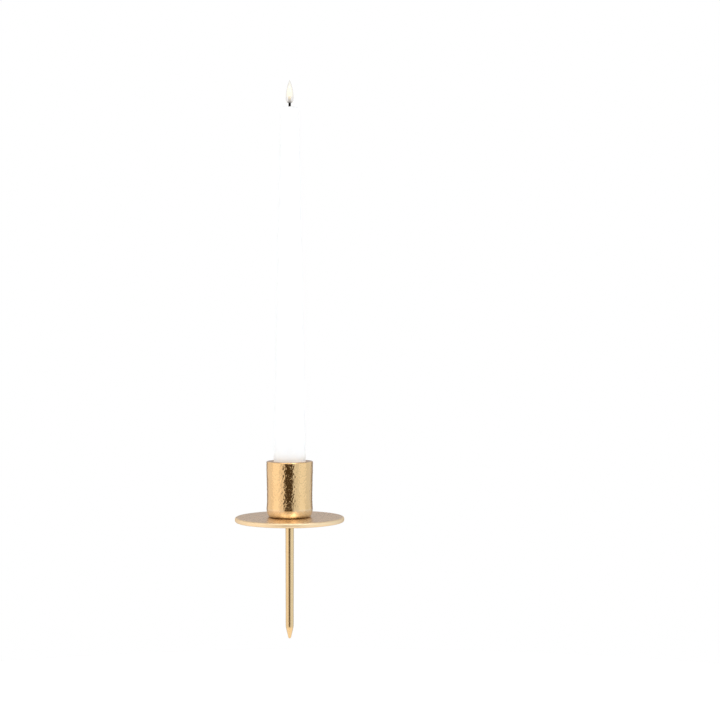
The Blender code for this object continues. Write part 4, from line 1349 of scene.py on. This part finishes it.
@finish
def pale_floor(bench):
    """Matt white that glows enough to stay white under the object."""
    mottled = bench.noise(0.2, 2.0)
    return {
        "Base Color": bench.mixed(mottled, (0.9, 0.9, 0.9), (0.87, 0.87, 0.87)),
        "Roughness": 0.8,
        "Emission Color": (1.0, 1.0, 1.0, 1.0),
        "Emission Strength": 0.9,
    }


def soft_light(name, stand, size, power, tint):
    """A large rectangular lamp that faces the object."""
    lamp = bpy.data.lights.new(name, "AREA")
    lamp.shape = "RECTANGLE"
    lamp.size, lamp.size_y = size
    lamp.energy = power
    lamp.color = tint
    holder = bpy.data.objects.new(name, lamp)
    bpy.context.scene.collection.objects.link(holder)
    holder.location = stand
    aimed = holder.location - Vector(LAMP_AIM)
    holder.rotation_euler = aimed.to_track_quat("Z", "Y").to_euler()


class CANDLESTICK_OT_studio(bpy.types.Operator):
    """Make the pale floor, the soft studio light and the camera"""

    bl_idname = "candlestick.studio"
    bl_label = "Studio"

    def execute(self, context):
        choice = settings()
        context.scene.view_settings.view_transform = "Standard"
        studio_world()
        for name, stand, size, share, tint in (
            ("left_light", (-LAMP_REACH, -0.35, 0.35), (0.8, 1.2), 1.0, (1.0, 0.97, 0.93)),
            ("right_light", (LAMP_REACH, -0.35, 0.35), (0.8, 1.2), 0.8, (0.94, 0.98, 1.0)),
            ("top_light", (0.0, -0.1, 1.2), (0.9, 0.9), 0.6, (1.0, 1.0, 1.0)),
        ):
            soft_light(name, stand, size, share * choice.light_power, tint)

        floor = add_object("pale_floor", self.floor(choice.floor_height), pale_floor())
        floor.visible_glossy = False

        eye = bpy.data.cameras.new("eye")
        eye.lens = choice.lens
        eye.sensor_width = 36.0
        camera = bpy.data.objects.new("eye", eye)
        camera.location = (choice.eye_right, -choice.eye_distance, choice.eye_height)
        camera.rotation_euler = (math.pi / 2, 0.0, 0.0)
        context.scene.collection.objects.link(camera)
        context.scene.camera = camera
        return {"FINISHED"}

    def floor(self, height):
        """A round slab, in rings from its middle out and back underneath, where it is a shallow cone."""
        rings = np.linspace(0.02, 1, 24)[:, None, None]
        disc = FLOOR_RADIUS * rings * ring(1.0, 96)
        top = np.full((*disc.shape[:2], 1), height)
        under = top - FLOOR_THICKNESS * (1 + rings)
        return surface(np.vstack([np.dstack([disc, top]), np.dstack([disc[::-1], under])]), wraps=False)


MAKERS = (
    CANDLESTICK_OT_studio,
    CANDLESTICK_OT_drip_plate,
    CANDLESTICK_OT_cup,
    CANDLESTICK_OT_spike,
    CANDLESTICK_OT_fastening,
    CANDLESTICK_OT_wax,
    CANDLESTICK_OT_core,
    CANDLESTICK_OT_flame,
    CANDLESTICK_OT_cradle,
    CANDLESTICK_OT_cover,
    CANDLESTICK_OT_switch,
    CANDLESTICK_OT_batteries,
    CANDLESTICK_OT_contacts,
    CANDLESTICK_OT_electronics,
    CANDLESTICK_OT_wires,
)


def length(name, description, default):
    return FloatProperty(name=name, description=description, default=default, unit="LENGTH",
                         subtype="DISTANCE", precision=5)


def colour(name, description, default):
    return FloatVectorProperty(name=name, description=description, default=default, subtype="COLOR",
                               size=3, min=0.0, soft_max=1.0)


class CandlestickSettings(bpy.types.PropertyGroup):
    """Sizes and colours of the candlestick, its candle and the studio."""

    brass_colour: colour("Cup brass", "Colour of the cup's polished brass", (0.90, 0.60, 0.30))
    plate_colour: colour("Plate brass", "Colour of the plate's satin brass", (0.92, 0.70, 0.40))
    spike_colour: colour("Spike brass", "Colour of the spike's drawn brass", (0.93, 0.66, 0.35))
    pebble_size: length("Pebble size", "From bump to bump of the cup's cast grain", 1.0 * MM)
    pebble_depth: length("Pebble depth", "Depth of the cup's cast grain", 0.26 * MM)
    plate_wave_depth: length("Plate waves", "Depth of the slow waves in the plate's faces", 0.14 * MM)
    wax_colour: colour("Wax", "Colour of the wax", (0.93, 0.93, 0.925))
    wax_wave_depth: length("Wax waves", "Depth of the dipping waves in the wax", 0.09 * MM)
    glow_colour: colour("Glow", "Colour of the lit flame", (1.0, 0.86, 0.50))
    glow_strength: FloatProperty(name="Glow strength", description="How strongly the flame glows",
                                 default=0.05, min=0.0)
    light_power: FloatProperty(name="Light power", description="Power of the left studio light, in watts",
                               default=0.8, min=0.0, unit="POWER")
    ambient: FloatProperty(name="Ambient", description="Brightness of the room on matt surfaces",
                           default=0.82, min=0.0)
    left_tone: colour("Left wall", "What the metal mirrors on the left", (0.90, 0.89, 0.90))
    right_tone: colour("Right wall", "What the metal mirrors on the right", (0.76, 0.84, 0.93))
    floor_height: length("Floor height", "Height of the studio's floor", -0.75)
    lens: FloatProperty(name="Lens", description="Focal length in millimetres", default=65.65,
                        subtype="DISTANCE_CAMERA")
    eye_distance: length("Camera distance", "From the camera to the candlestick's axis", 0.90)
    eye_right: length("Camera to the right", "How far right of the axis the camera stands", 0.0482)
    eye_height: length("Camera height", "Height of the camera above the plate's underside", 0.1108)


class CANDLESTICK_PT_pieces(bpy.types.Panel):
    """Lists the makers and the settings in the 3D view's sidebar."""

    bl_idname = "CANDLESTICK_PT_pieces"
    bl_label = "Altar candlestick"
    bl_space_type = "VIEW_3D"
    bl_region_type = "UI"
    bl_category = "Candlestick"

    def draw(self, context):
        for maker in MAKERS:
            self.layout.operator(maker.bl_idname)
        for name in CandlestickSettings.__annotations__:
            self.layout.prop(context.scene.candlestick, name)


CLASSES = (CandlestickSettings, *MAKERS, CANDLESTICK_PT_pieces)


def register():
    for cls in CLASSES:
        bpy.utils.register_class(cls)
    bpy.types.Scene.candlestick = PointerProperty(type=CandlestickSettings)


def unregister():
    del bpy.types.Scene.candlestick
    for cls in reversed(CLASSES):
        bpy.utils.unregister_class(cls)


def main():
    register()
    for maker in MAKERS:
        getattr(bpy.ops.candlestick, maker.bl_idname.split(".")[1])()


if __name__ == "__main__":
    main()
